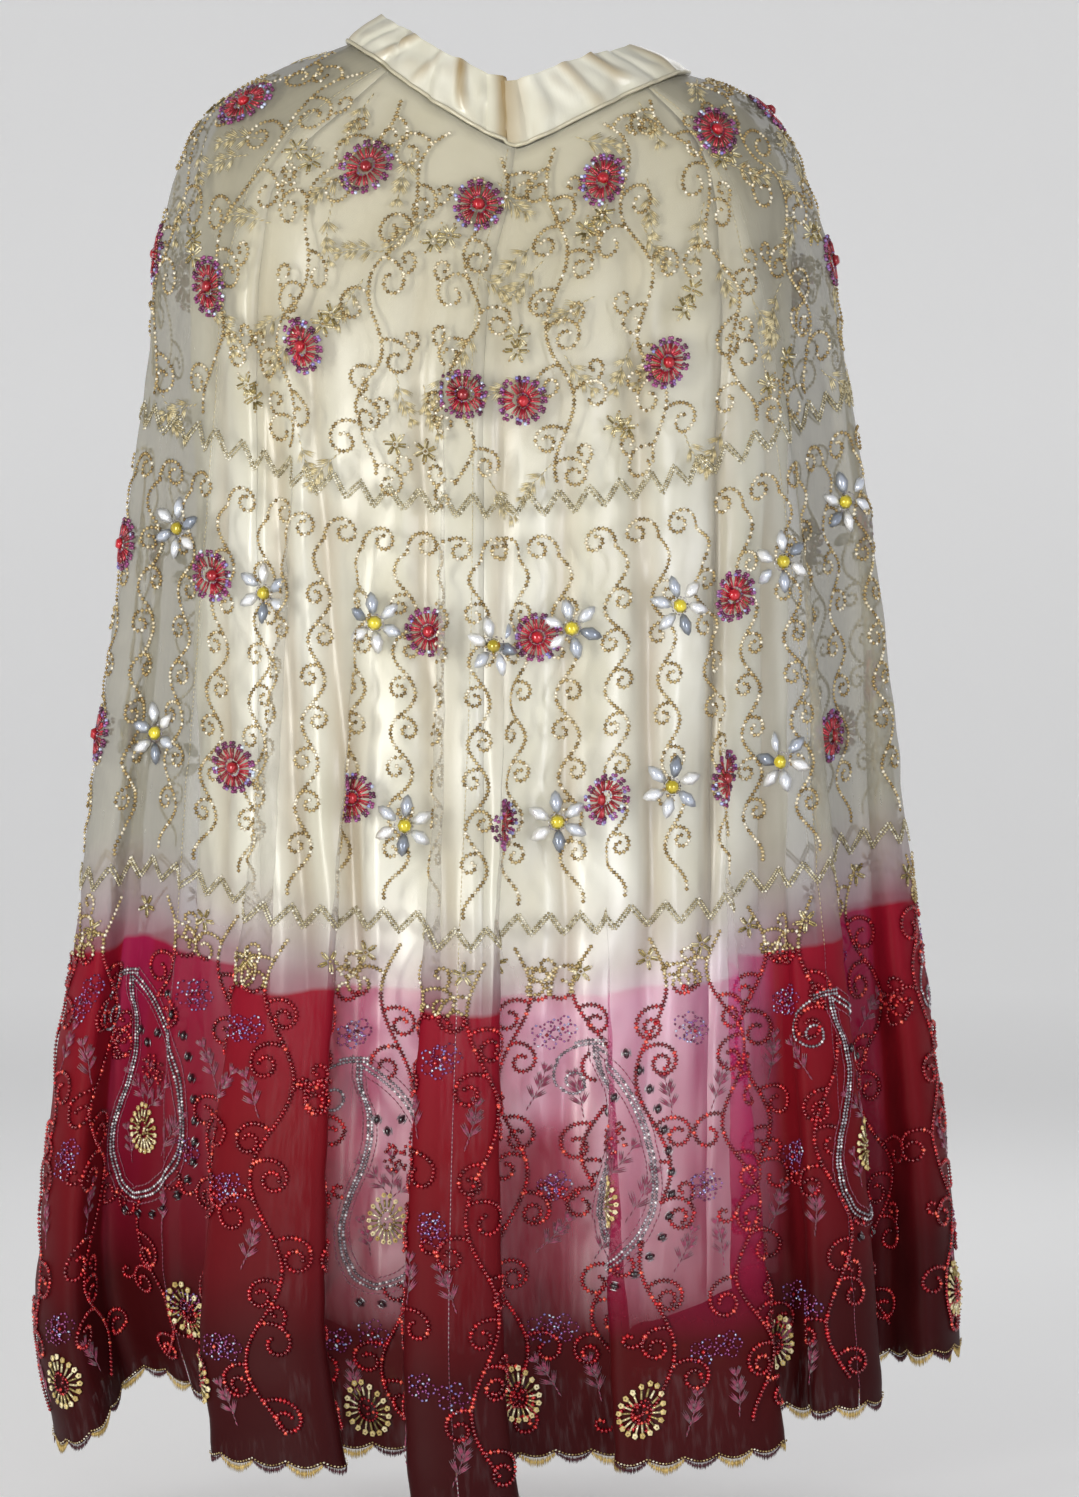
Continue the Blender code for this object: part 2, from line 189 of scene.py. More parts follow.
BAND_CREASES = [
    Crease(-80.0, 0.009, -0.0022, -0.012, 0.070, 0.012),
    Crease(-70.0, 0.006, 0.0018, -0.010, 0.060, 0.026),
    Crease(-58.0, 0.007, -0.0036, -0.006, 0.058, 0.030),
    Crease(-47.0, 0.005, 0.0018, 0.004, 0.060, -0.016),
    Crease(-38.0, 0.006, -0.0026, 0.000, 0.052, 0.018),
    Crease(-29.0, 0.005, 0.0016, -0.020, 0.050, -0.010),
    Crease(-19.0, 0.008, -0.0046, 0.006, 0.064, -0.008),
    Crease(-11.5, 0.006, 0.0030, -0.012, 0.055, 0.004),
    Crease(-4.5, 0.012, -0.0062, -0.014, 0.090, 0.002),
    Crease(4.0, 0.005, 0.0026, -0.016, 0.060, -0.004),
    Crease(19.0, 0.010, 0.0016, 0.002, 0.066, -0.026),
    Crease(30.0, 0.008, -0.0028, -0.008, 0.070, -0.024),
    Crease(42.0, 0.010, -0.0040, 0.010, 0.090, -0.030),
    Crease(56.0, 0.006, 0.0020, -0.012, 0.060, -0.018),
    Crease(68.0, 0.009, -0.0028, -0.010, 0.064, -0.012),
    Crease(108.0, 0.009, -0.0030, -0.012, 0.058, 0.022),
    Crease(124.0, 0.006, 0.0020, -0.020, 0.060, -0.016),
    Crease(141.0, 0.007, -0.0026, -0.010, 0.062, 0.012),
    Crease(163.0, 0.008, -0.0034, -0.010, 0.062, -0.018),
    Crease(-165.0, 0.007, 0.0022, -0.014, 0.056, 0.012),
    Crease(-148.0, 0.009, -0.0030, -0.010, 0.060, -0.024),
    Crease(-126.0, 0.006, 0.0020, -0.016, 0.050, 0.016),
    Crease(-103.0, 0.010, -0.0028, -0.016, 0.060, 0.014),
]


def arc_table(half_width, depth):
    """Angles all round, and the distance along the plan ellipse from the centre front."""
    angles = np.linspace(-240.0, 300.0, 2701)
    radians = np.radians(angles)
    speed = np.hypot(half_width * np.cos(radians), depth * np.sin(radians))
    steps = (speed[1:] + speed[:-1]) / 2 * np.diff(radians)
    along = np.concatenate([[0.0], np.cumsum(steps)])
    return angles, along - np.interp(0.0, angles, along)


SKIRT_ARC = arc_table(0.30, 0.165)
BAND_ARC = arc_table(0.128, 0.089)


def along_plan(angle, arc=SKIRT_ARC):
    return np.interp(angle, *arc)


def once_round(arc):
    return along_plan(180.0, arc) - along_plan(-180.0, arc)


def wrapped(distance, whole):
    """A distance round the ring, brought to between minus and plus half of it."""
    return (distance + whole / 2) % whole - whole / 2


def column(rings, name, v):
    """A column of the ring table at v, on a curve that passes through every row."""
    xs = np.array([ring.v for ring in rings])
    ys = np.array([getattr(ring, name) for ring in rings])
    slopes = np.gradient(ys, xs)
    i = np.clip(np.searchsorted(xs, v, side="right") - 1, 0, len(xs) - 2)
    step = xs[i + 1] - xs[i]
    t = (v - xs[i]) / step
    rise = t * t * (3 - 2 * t)
    ease_out = t * (1 - t) ** 2 * step * slopes[i]
    ease_in = t * t * (t - 1) * step * slopes[i + 1]
    return ys[i] * (1 - rise) + ys[i + 1] * rise + ease_out + ease_in


def plain_ring(rings, angle, v, waist_point):
    """Points of a plain ring, with its outward and sideways directions in plan."""
    left, right, depth, front_z, back_z, left_z, right_z = (
        column(rings, name, v) for name in Ring._fields[1:]
    )
    turn = np.radians(angle)
    half = (left + right) / 2
    x = (right - left) / 2 + half * np.sin(turn)
    y = -depth * np.cos(turn)
    middle_z = back_z + (front_z - back_z) * (1 + np.cos(turn)) / 2
    side_z = left_z + (right_z - left_z) * (1 + np.sin(turn)) / 2
    power = 1.2 + 0.8 * np.clip(v / waist_point, 0.0, 1.0)
    z = middle_z + (side_z - middle_z) * np.abs(np.sin(turn)) ** power
    sideways = np.stack([half * np.cos(turn), depth * np.sin(turn)], axis=1)
    sideways /= np.linalg.norm(sideways, axis=1)[:, None]
    outward = np.stack([sideways[:, 1], -sideways[:, 0]], axis=1)
    return np.stack([x, y, z], axis=1), outward, sideways


def share_of_fold(v, start):
    return np.clip((v - start) / (1.0 - start), 0.0, None)


def hump(place):
    return np.where(np.abs(place) < 1, (1 + np.cos(np.pi * place)) / 2, 0.0)


def sheer_form(angle, v):
    points, outward, sideways = plain_ring(SHEER_RINGS, angle, v, 0.15)
    along = along_plan(angle)
    out = -VALLEY_AT_HEM * share_of_fold(v, FOLDS_FROM)
    side = np.zeros(len(angle))
    down = np.zeros(len(angle))
    for fold in SHEER_FOLDS:
        window = fold.crest + fold.neck
        tuck = fold.crest - 0.27 * window
        place = wrapped(along - along_plan(fold.angle), once_round(SKIRT_ARC)) / window
        swing = np.where(np.abs(place) < 1, np.sin(2 * np.pi * place), 0.0)
        share = share_of_fold(v, fold.start)
        out = out + fold.height * share * hump(place)
        side += tuck * share * swing + fold.lean * fold.height * share * hump(place)
        down += fold.drop * share**2 * hump(place)
    points[:, :2] += outward * out[:, None] + sideways * side[:, None]
    points[:, 2] -= down
    return points


def rippled(rings, ripples, angle, v, waist_point, arc):
    points, outward, _ = plain_ring(rings, angle, v, waist_point)
    along = along_plan(angle, arc)
    for ripple in ripples:
        place = wrapped(along - along_plan(ripple.angle, arc), once_round(arc))
        share = 1.0 if ripple.start == 0 else share_of_fold(v, ripple.start)
        lift = share * hump(place / ripple.half_width)
        points[:, :2] += outward * (ripple.height * lift)[:, None]
        points[:, 2] -= ripple.drop * share * lift
    return points


def lining_form(angle, v):
    return rippled(LINING_RINGS, LINING_RIPPLES, angle, v, 0.15, SKIRT_ARC)


def band_form(angle, v):
    return rippled(BAND_RINGS, BAND_RIPPLES, angle, v, 10.0, BAND_ARC)


def crease_lift(creases, angle, v, arc):
    along = along_plan(angle, arc)
    lift = np.zeros(len(angle))
    for crease in creases:
        t = np.clip((v - crease.top) / (crease.bottom - crease.top), 0.0, 1.0)
        middle = along_plan(crease.angle, arc) + crease.slant * t
        place = wrapped(along - middle, once_round(arc)) / crease.half_width
        lift += crease.height * hump(place) * np.sin(np.pi * t) ** 0.6
    return lift


def crumple(angle, v, seed, arc, longest, shortest):
    """Soft uneven lumps between about -1 and 1, their lengths in metres."""
    rng = np.random.default_rng(seed)
    along = along_plan(angle, arc)
    whole = once_round(arc)
    height = np.zeros(len(angle))
    for _ in range(9):
        length = rng.uniform(shortest, longest)
        lean = rng.uniform(0.25, 1.3)
        turns = round(whole / length * math.sin(lean))
        wave = turns * along / whole + rng.choice([-1, 1]) * v / length * math.cos(lean)
        height += np.sin(2 * np.pi * (wave + rng.uniform()))
    return height / 4


# Where the sheer cloth is taken as piled outside its standing folds: from one angle to another,
# from `top` down. There it is more opaque and painted darker, partly for cloth lying double and
# partly as painted shade; at the sides no satin lies behind it, and the painted shade stands for
# the shaded hollow inside.
ShadedLap = namedtuple("ShadedLap", "first last top amount")
SHADED_LAPS = [
    ShadedLap(-144.0, -49.0, -0.03, 0.80),
    ShadedLap(-62.0, -14.5, 0.60, 0.90),
    ShadedLap(-3.0, 6.0, 0.60, 0.90),
    ShadedLap(0.0, 10.5, 0.72, 0.85),
    ShadedLap(49.0, 144.0, -0.03, 0.80),
]


def piled_and_shaded(angle, v):
    """How far the cloth lies over itself, 0 to 1: there it looks deep and dark, partly from its
    layers and partly from painted shade.
    """
    along = along_plan(angle)
    turn = wrapped(angle, 360.0)
    deep = np.zeros(len(angle))
    for lap in SHADED_LAPS:
        inside = np.clip(np.minimum(turn - lap.first, lap.last - turn) / 3.0, 0.0, 1.0)
        deep = np.maximum(deep, lap.amount * inside * np.clip((v - lap.top) / 0.03, 0.0, 1.0))
    for fold in SHEER_FOLDS:
        if fold.crest > 0.055:  # the one broad open fold at the front
            continue
        place = wrapped(along - along_plan(fold.angle), once_round(SKIRT_ARC))
        place = np.abs(place) / (fold.crest + fold.neck)
        begun = np.clip(share_of_fold(v, fold.start) * 3.0, 0.0, 1.0)
        begun *= np.clip((v - 0.55) / 0.08, 0.3, 1.0)  # undyed, a fold hardly darkens
        deep = np.maximum(deep, begun * np.clip((1.0 - place) * 3.0, 0.0, 1.0))
    return deep


def sheer_lift(angle, v):
    lift = crease_lift(SHEER_CREASES, angle, v, SKIRT_ARC)
    return lift + 0.0009 * np.clip(v / 0.04, 0, 1) * crumple(angle, v, 5, SKIRT_ARC, 0.09, 0.03)


def lining_lift(angle, v):
    lift = crease_lift(LINING_CREASES, angle, v, SKIRT_ARC)
    return lift + 0.0016 * np.clip(v / 0.06, 0, 1) * crumple(angle, v, 11, SKIRT_ARC, 0.16, 0.05)


def band_lift(angle, v):
    lift = crease_lift(BAND_CREASES, angle, v, BAND_ARC)
    return lift + 0.0007 * crumple(angle, v, 3, BAND_ARC, 0.05, 0.018)


def frames_of(surface, angle, v):
    """Points of a surface with their across, down and outward unit directions."""
    here = surface(angle, v)
    across = surface(angle + 0.05, v) - here
    down = surface(angle, v + 0.0005) - here
    outward = np.cross(down, across)
    outward /= np.linalg.norm(outward, axis=1)[:, None]
    down = down / np.linalg.norm(down, axis=1)[:, None]
    across = np.cross(outward, down)
    return here, across, down, outward


def creased(form, lift, angle, v):
    here, _, _, outward = frames_of(form, angle, v)
    return here + outward * lift(angle, v)[:, None]


def sheer_skin(angle, v):
    return creased(sheer_form, sheer_lift, angle, v)


def lining_skin(angle, v):
    return creased(lining_form, lining_lift, angle, v)


def band_skin(angle, v):
    return creased(band_form, band_lift, angle, v)


# How far round the sheer cloth each angle is, at many levels down to the hem.
STEPS_DOWN = 50
ROUND_ANGLES = np.linspace(-230.0, 230.0, 3681)


def cloth_lengths(v):
    points = sheer_form(ROUND_ANGLES, np.full(len(ROUND_ANGLES), v))
    steps = np.linalg.norm(np.diff(points, axis=0), axis=1)
    lengths = np.concatenate([[0.0], np.cumsum(steps)])
    return lengths - np.interp(-180.0, ROUND_ANGLES, lengths)


CLOTH = [cloth_lengths(v) for v in np.linspace(0.0, 1.0, STEPS_DOWN + 1)]


def level_of(v):
    """The number of the level nearest to v."""
    return np.clip(np.rint(v * STEPS_DOWN).astype(int), 0, STEPS_DOWN)


def cloth_round(v):
    """The length of cloth once round the sheer skirt at one level."""
    return float(np.interp(180.0, ROUND_ANGLES, CLOTH[round(v * STEPS_DOWN)]))


def slide(angle, v, across):
    """The angles reached by going `across` metres along the sheer cloth at v."""
    angle, v, across = np.broadcast_arrays(
        np.atleast_1d(angle).astype(float), np.atleast_1d(v), np.atleast_1d(across)
    )
    level = level_of(v)
    reached = np.empty(len(angle))
    for k in np.unique(level):
        here = level == k
        start = np.interp(angle[here], ROUND_ANGLES, CLOTH[k])
        reached[here] = np.interp(start + across[here], CLOTH[k], ROUND_ANGLES)
    return reached


def round_the_cloth(v, count, offset=0.0):
    """Angles of `count` places evenly spaced along the sheer cloth at one level."""
    spaced = (np.arange(count) + offset) * cloth_round(v) / count
    return slide(np.full(count, -180.0), np.full(count, v), spaced)


def along_the_hem(along):
    """The angles of places this far round the hem, from the centre back."""
    return slide(np.full(len(along), -180.0), np.ones(len(along)), along)


SCALLOPS = round(cloth_round(1.0) / 0.026)
SCALLOP = cloth_round(1.0) / SCALLOPS
SCALLOP_DEPTH = 0.0045


def hem_edge(angle):
    """v of the scalloped hem: round below, with a cusp between two scallops."""
    along = np.interp(angle, ROUND_ANGLES, CLOTH[-1])
    return 1.0 - SCALLOP_DEPTH * (1 - np.abs(np.sin(np.pi * along / SCALLOP)))


# ---------------------------------------------------------------- materials


def colour(hex_code):
    """An sRGB hex colour as linear red, green, blue and alpha."""
    parts = [int(hex_code[i : i + 2], 16) / 255 for i in (1, 3, 5)]
    linear = [c / 12.92 if c <= 0.04045 else ((c + 0.055) / 1.055) ** 2.4 for c in parts]
    return (*linear, 1.0)


def node(material, kind, settings=None, **links):
    """Adds a node; settings are its properties, and links are its inputs.

    An input is named by its socket, with _ for a space, or n and its number, and takes
    a socket or a value.
    The setting "stops" is a colour ramp's list of (place, colour).
    """
    tree = material.node_tree
    made = tree.nodes.new(kind)
    settings = dict(settings or {})
    for number, (place, shade) in enumerate(settings.pop("stops", [])):
        band = made.color_ramp.elements
        stop = band[number] if number < len(band) else band.new(1.0)
        stop.position = place
        stop.color = shade if isinstance(shade, tuple) else colour(shade)
    for name, value in settings.items():
        setattr(made, name, value)
    for name, value in links.items():
        key = int(name[1:]) if name[0] == "n" and name[1:].isdigit() else name.replace("_", " ")
        if isinstance(value, bpy.types.NodeSocket):
            tree.links.new(value, made.inputs[key])
        else:
            made.inputs[key].default_value = value
    return made


def finish(name, base, roughness, **more):
    """A material whose shader has these plain values, and its shader node."""
    made = bpy.data.materials.new(name)
    made.use_nodes = True
    shader = made.node_tree.nodes["Principled BSDF"]
    shader.inputs["Base Color"].default_value = colour(base)
    shader.inputs["Roughness"].default_value = roughness
    for socket, value in more.items():
        shader.inputs[socket.replace("_", " ")].default_value = value
    made.diffuse_color = colour(base)
    return made, shader


def link(material, socket, target):
    material.node_tree.links.new(socket, target)


def satin():
    """Ivory polyester satin, woven: long floats give broad bright highlights."""
    made, shader = finish(
        "ivory_satin", "#e0dbca", 0.30, Specular_IOR_Level=0.75, Sheen_Weight=0.10
    )
    cut = node(made, "ShaderNodeUVMap", {"uv_map": "cut"}).outputs["UV"]
    # Cloudy warm patches a hand's breadth across, lighter and darker at random: partly the cloth
    # lying double, partly painted shade and highlight.
    stretched = node(made, "ShaderNodeMapping", Vector=cut, Scale=(11.0, 4.0, 1.0))
    clouds = node(
        made, "ShaderNodeTexNoise", Vector=stretched.outputs["Vector"], Scale=1.0, Detail=3.0
    )
    patch_shade_stops = [(0.30, "#d3cfb8"), (0.50, "#e9e8da"), (0.72, "#f9f9f1")]
    tint = node(
        made, "ShaderNodeValToRGB", {"stops": patch_shade_stops}, Fac=clouds.outputs["Fac"]
    ).outputs["Color"]
    # Painted shade: the satin is painted darker and golden in the hollow of a crease, for the
    # shade there and the light it throws on itself.
    painted_crease_shade = node(made, "ShaderNodeAttribute", {"attribute_name": "shade"}).outputs["Fac"]
    colours = {"data_type": "RGBA"}
    tint = node(
        made, "ShaderNodeMix", colours, n0=painted_crease_shade, n6=tint, n7=colour("#96763c")
    ).outputs[2]
    # Painted shade: the satin is darker and warmer towards the top, at the yoke and the waistband.
    level = node(made, "ShaderNodeSeparateXYZ", Vector=cut).outputs["Y"]
    top = {"From_Min": 0.10, "From_Max": 0.34, "To_Min": 0.80, "To_Max": 0.0}
    painted_top_shade = node(made, "ShaderNodeMapRange", Value=level, **top).outputs["Result"]
    tint = node(
        made, "ShaderNodeMix", colours, n0=painted_top_shade, n6=tint, n7=colour("#b9b091")
    ).outputs[2]
    # Painted light: the pink light of the dyed cloth on the satin below the dye line is painted
    # into its colour.
    below = {"From_Min": 0.63, "From_Max": 0.66, "To_Min": 0.0, "To_Max": 0.8}
    painted_pink_light = node(made, "ShaderNodeMapRange", Value=level, **below).outputs["Result"]
    tint = node(
        made, "ShaderNodeMix", colours, n0=painted_pink_light, n6=tint, n7=colour("#f3e4ee")
    ).outputs[2]
    link(made, tint, shader.inputs["Base Color"])
    # Warp threads 0.35 mm apart, drawn 1.4 mm apart so that they show.
    threads = node(made, "ShaderNodeMapping", Vector=cut, Scale=(700.0, 60.0, 1.0))
    grain = node(
        made, "ShaderNodeTexNoise", Vector=threads.outputs["Vector"], Scale=1.0, Detail=2.0
    )
    bump = node(
        made, "ShaderNodeBump", Height=grain.outputs["Fac"], Strength=0.2, Distance=0.0003
    )
    link(made, bump.outputs["Normal"], shader.inputs["Normal"])
    return made


def grey(value):
    return (value, value, value, 1.0)


# v, then the colour and the cover of one layer, and of cloth piled on its own folds, which is also
# painted darker there for the shade between its layers.
DYES = [
    (0.000, "#d2cfc2", 0.22, "#8e8a7a", 0.60),
    (0.560, "#d2cfc2", 0.22, "#8e8a7a", 0.60),
    (0.610, "#d0c6c9", 0.28, "#8c7676", 0.66),
    (0.6385, "#ccb0bc", 0.36, "#8c5a64", 0.74),
    (0.6405, "#c42a80", 0.32, "#840820", 0.97),
    (0.740, "#b4205c", 0.39, "#700613", 0.98),
    (0.850, "#8e1038", 0.55, "#58040d", 0.99),
    (0.905, "#4a0508", 0.99, "#3a0306", 1.00),
    (1.000, "#360305", 1.00, "#2e0204", 1.00),
]


def dyed_sheer():
    """Polyester organza, dip-dyed: see-through, milky above, crimson and maroon below."""
    made, shader = finish(
        "dip_dyed_organza", "#d9d3c4", 0.55, Specular_IOR_Level=0.1, Sheen_Weight=0.02
    )
    cut = node(made, "ShaderNodeUVMap", {"uv_map": "cut"}).outputs["UV"]
    apart = node(made, "ShaderNodeSeparateXYZ", Vector=cut)
    pile_and_shade = node(made, "ShaderNodeAttribute", {"attribute_name": "shade"}).outputs["Fac"]
    # The dye line wanders a centimetre up and down.
    wavy = node(made, "ShaderNodeTexNoise", Vector=cut, Scale=9.0, Detail=3.0).outputs["Fac"]
    wander = node(
        made, "ShaderNodeMath", {"operation": "MULTIPLY_ADD"}, n0=wavy, n1=0.022, n2=-0.011
    )
    level = node(
        made, "ShaderNodeMath", {"operation": "ADD"}, n0=apart.outputs["Y"], n1=wander.outputs[0]
    ).outputs[0]
    single, double, thin, thick = (
        node(made, "ShaderNodeValToRGB", {"stops": stops}, Fac=level).outputs["Color"]
        for stops in (
            [(row[0], row[1]) for row in DYES],
            [(row[0], row[3]) for row in DYES],
            [(row[0], grey(row[2])) for row in DYES],
            [(row[0], grey(row[4])) for row in DYES],
        )
    )
    # Where the cloth is piled it takes the darker colour: partly its layers, partly painted shade.
    dye = node(made, "ShaderNodeMix", {"data_type": "RGBA"}, n0=pile_and_shade, n6=single, n7=double)
    link(made, dye.outputs[2], shader.inputs["Base Color"])
    cover = node(made, "ShaderNodeMix", {"data_type": "RGBA"}, n0=pile_and_shade, n6=thin, n7=thick)
    # A slub every few millimetres makes the cloth a little thicker there.
    slubs = node(made, "ShaderNodeMapping", Vector=cut, Scale=(260.0, 40.0, 1.0))
    slub = node(made, "ShaderNodeTexNoise", Vector=slubs.outputs["Vector"], Scale=1.0, Detail=2.0)
    thicker = node(made, "ShaderNodeMapRange", Value=slub.outputs["Fac"], To_Min=0.93, To_Max=1.07)
    alpha = node(
        made,
        "ShaderNodeMath",
        {"operation": "MULTIPLY", "use_clamp": True},
        n0=cover.outputs[2],
        n1=thicker.outputs["Result"],
    )
    link(made, alpha.outputs[0], shader.inputs["Alpha"])
    bump = node(made, "ShaderNodeBump", Height=slub.outputs["Fac"], Strength=0.15, Distance=0.0002)
    link(made, bump.outputs["Normal"], shader.inputs["Normal"])
    return made


def toned(name, dark, light, roughness, middle=(), **more):
    """A finish whose colour runs from dark to light with each small piece's own tone; for some
    glass the dark end is painted shade and the light end a painted glint.
    """
    made, shader = finish(name, light, roughness, **more)
    stops = [(0.0, dark), *middle, (1.0, light)]
    tone = node(made, "ShaderNodeAttribute", {"attribute_name": "tone"}).outputs["Fac"]
    tint = node(made, "ShaderNodeValToRGB", {"stops": stops}, Fac=tone)
    link(made, tint.outputs["Color"], shader.inputs["Base Color"])
    return made


def small_finishes():
    """The beads, stones and threads, by the name of what wears them."""
    glossy = {"Coat_Weight": 1.0}
    foiled = {"Metallic": 0.3}
    return {
        # Silver-lined glass beads over an old gold: their tone runs from painted dark gaps to
        # painted pale glints.
        "gold_beads": toned(
            "old_gold_glass", "#5a4828", "#fff8e4", 0.22,
            [(0.35, "#a08655"), (0.75, "#cbb684")], **foiled,
        ),
        "silver_beads": toned(
            "silver_lined_glass", "#4c4448", "#ffffff", 0.2,
            [(0.4, "#857c82"), (0.8, "#b8b2ba")], **foiled,
        ),
        # The zigzag's beads are duller: pale gold going grey.
        "zigzag": toned(
            "grey_gold_glass", "#6e6448", "#f8f4e4", 0.24,
            [(0.4, "#aa9e7a"), (0.8, "#d4cbac")], **foiled,
        ),
        # Red cut glass: the bright end of each bead's tone is a painted glint.
        "red_beads": toned(
            "red_cut_glass", "#3c040c", "#ff7058", 0.16,
            [(0.35, "#780a18"), (0.80, "#a81222"), (0.93, "#d2242c")],
            Metallic=0.25, Coat_Weight=0.7,
        ),
        # Aurora-coated glass: purple with odd blue, and painted pale glints at the light end of
        # its tone.
        "purple_beads": toned(
            "aurora_glass", "#4a1638", "#e6f4ff", 0.16,
            [(0.40, "#7c2a5e"), (0.72, "#a14a86"), (0.90, "#8a86cc")],
            Metallic=0.25, Coat_Weight=0.6,
        ),
        "red_bugles": toned(
            "red_glass_tube", "#5a0812", "#c4263a", 0.16, Metallic=0.2, Coat_Weight=0.8
        ),
        "gold_bugles": toned(
            "gold_glass_tube", "#4a3f24", "#f0e6c0", 0.18, [(0.5, "#a8955c")], Metallic=0.4
        ),
        "red_stones": toned(
            "red_cut_stone", "#76040f", "#cc1024", 0.08, Metallic=0.2, **glossy
        ),
        # Foiled cut glass with painted reflections: a petal's tone paints it from dark to bright,
        # as if it caught the light.
        "petals": toned(
            "foiled_crystal", "#8b93a0", "#ffffff", 0.07,
            [(0.25, "#b4bccb"), (0.5, "#e2e7f0")], Metallic=0.35,
        ),
        "yellow_stones": toned(
            "foiled_citrine", "#a38c14", "#f6e23c", 0.08, **foiled, **glossy
        ),
        "navettes": toned("jet_glass", "#0a0406", "#2a1018", 0.06, **glossy),
        "cream_sequins": toned(
            "pearl_sequin", "#b0924a", "#fbefc4", 0.28, [(0.5, "#dcc683")], Coat_Weight=0.4
        ),
        "pale_thread": toned("pale_metallic_thread", "#b09c68", "#e8dcb4", 0.42, **foiled),
        "red_thread": toned("rayon_thread_wine", "#5c0a24", "#9c2c58", 0.5, Sheen_Weight=0.4),
        "fringe": toned(
            "fringe_thread", "#3a1018", "#dcc07a", 0.4,
            [(0.3, "#55202c"), (0.34, "#94783c")], **foiled,
        ),
    }


# ---------------------------------------------------------------- cloth pieces


def add(name, data):
    """Puts an object made of this data in the scene."""
    made = bpy.data.objects.new(name, data)
    bpy.context.scene.collection.objects.link(made)
    return made


def cloth_grid(name, points, flat, shade, material):
    """A sheet through rows of points, the lowest row first; flat is each point's place
    on the cut cloth, in metres round and down, and shade how far its material is painted darker
    for shade."""
    rows, across = points.shape[:2]
    bm = bmesh.new()
    bmesh.ops.create_grid(bm, x_segments=across - 1, y_segments=rows - 1, size=1.0)
    mesh = bpy.data.meshes.new(name)
    bm.to_mesh(mesh)
    bm.free()
    places = np.empty(len(mesh.vertices) * 3)
    mesh.vertices.foreach_get("co", places)
    places = places.reshape(-1, 3)
    i = np.rint((places[:, 0] + 1) / 2 * (across - 1)).astype(int)
    j = np.rint((places[:, 1] + 1) / 2 * (rows - 1)).astype(int)
    mesh.vertices.foreach_set("co", points[j, i].ravel())
    corners = np.empty(len(mesh.loops), int)
    mesh.loops.foreach_get("vertex_index", corners)
    layer = mesh.uv_layers.new(name="cut")
    layer.uv.foreach_set("vector", flat[j, i][corners].ravel())
    darker = mesh.attributes.new("shade", "FLOAT", "POINT")
    darker.data.foreach_set("value", shade[j, i])
    mesh.shade_smooth()
    mesh.update()
    mesh.materials.append(material)
    return add(name, mesh)


def sheet_points(surface, angles, vs):
    """Points (rows, columns, 3) for columns of angles and rows of v, which may differ
    from column to column."""
    vs = np.broadcast_to(vs, (len(vs), len(angles)))
    grid = np.broadcast_to(angles, vs.shape)
    return surface(grid.ravel(), vs.ravel()).reshape(*vs.shape, 3), grid, vs


def crease_shade(lift, grid, vs, full):
    """How deep in a crease each point is, 0 to 1: how much painted shade it gets."""
    depth = -lift(grid.ravel(), vs.ravel()).reshape(vs.shape)
    return np.clip(depth / full, 0.0, 1.0)


def with_wall(piece, thickness):
    wall = piece.modifiers.new("wall", "SOLIDIFY")
    wall.thickness = thickness
    wall.offset = 0.0
    return piece


def sheer_panels(material):
    made = {}
    for name, first, last in SHEER_PANELS:
        start, end = np.interp([first, last], ROUND_ANGLES, CLOTH[-1])
        count = round((end - start) / 0.0045)
        along = np.linspace(start + GAP, end - GAP, count)
        angles = np.interp(along, CLOTH[-1], ROUND_ANGLES)
        share = np.linspace(1.0, 0.0, 104)[:, None]
        points, grid, vs = sheet_points(sheer_skin, angles, share * hem_edge(angles))
        flat = np.stack([np.broadcast_to(along, vs.shape), vs], axis=2)
        shade = piled_and_shaded(grid.ravel(), vs.ravel()).reshape(vs.shape)
        made[name] = cloth_grid(f"organza_{name}", points, flat, shade, material)
        # Sheer cloth passes light on to what is under it, so it throws no shadow.
        made[name].visible_shadow = False
    return made


def lining_panels(material):
    made = {}
    for name, first, last in LINING_PANELS:
        count = round((along_plan(last) - along_plan(first)) / 0.010)
        edge = GAP / 2 * (last - first) / (along_plan(last) - along_plan(first))
        angles = np.linspace(first + edge, last - edge, count)
        rows = np.linspace(LINING_END, 0.0, 96)[:, None]
        points, grid, vs = sheet_points(lining_skin, angles, rows)
        flat = np.stack([along_plan(grid), vs], axis=2)
        # Painted shade in the hollows of the creases.
        shade = crease_shade(lining_lift, grid, vs, 0.016)
        panel = cloth_grid(f"satin_{name}", points, flat, shade, material)
        made[name] = with_wall(panel, LINING_WALL)
    return made


def waistband_halves(material):
    made = {}
    for name, first, last in BAND_HALVES:
        edge = 0.05
        angles = np.linspace(first + edge, last - edge, 170)
        rows = np.linspace(0.0, BAND_DEEP, 25)[:, None]
        points, grid, vs = sheet_points(band_skin, angles, rows)
        # The band takes the satin's colour from lower down, so it gets less of the painted shade
        # at the top.
        flat = np.stack([along_plan(grid, BAND_ARC), vs + 0.22], axis=2)
        # Painted shade: the deep pleat at the centre front is painted golden, darkest at its left
        # wall.
        painted_pleat_shade = np.minimum((grid + 8.5) / 2.0, 1.0 - (grid + 4.5) / (9.0 + 60.0 * vs))
        shade = np.maximum(crease_shade(band_lift, grid, vs, 0.005), np.clip(painted_pleat_shade, 0.0, 1.0))
        half = cloth_grid(f"waistband_satin_{name}", points, flat, shade, material)
        piece = with_wall(half, BAND_WALL)
        rounded = piece.modifiers.new("folded edge", "BEVEL")
        rounded.width = 0.0009
        rounded.segments = 2
        rounded.limit_method = "ANGLE"
        rounded.angle_limit = math.radians(50)
        made[name] = piece
    return made


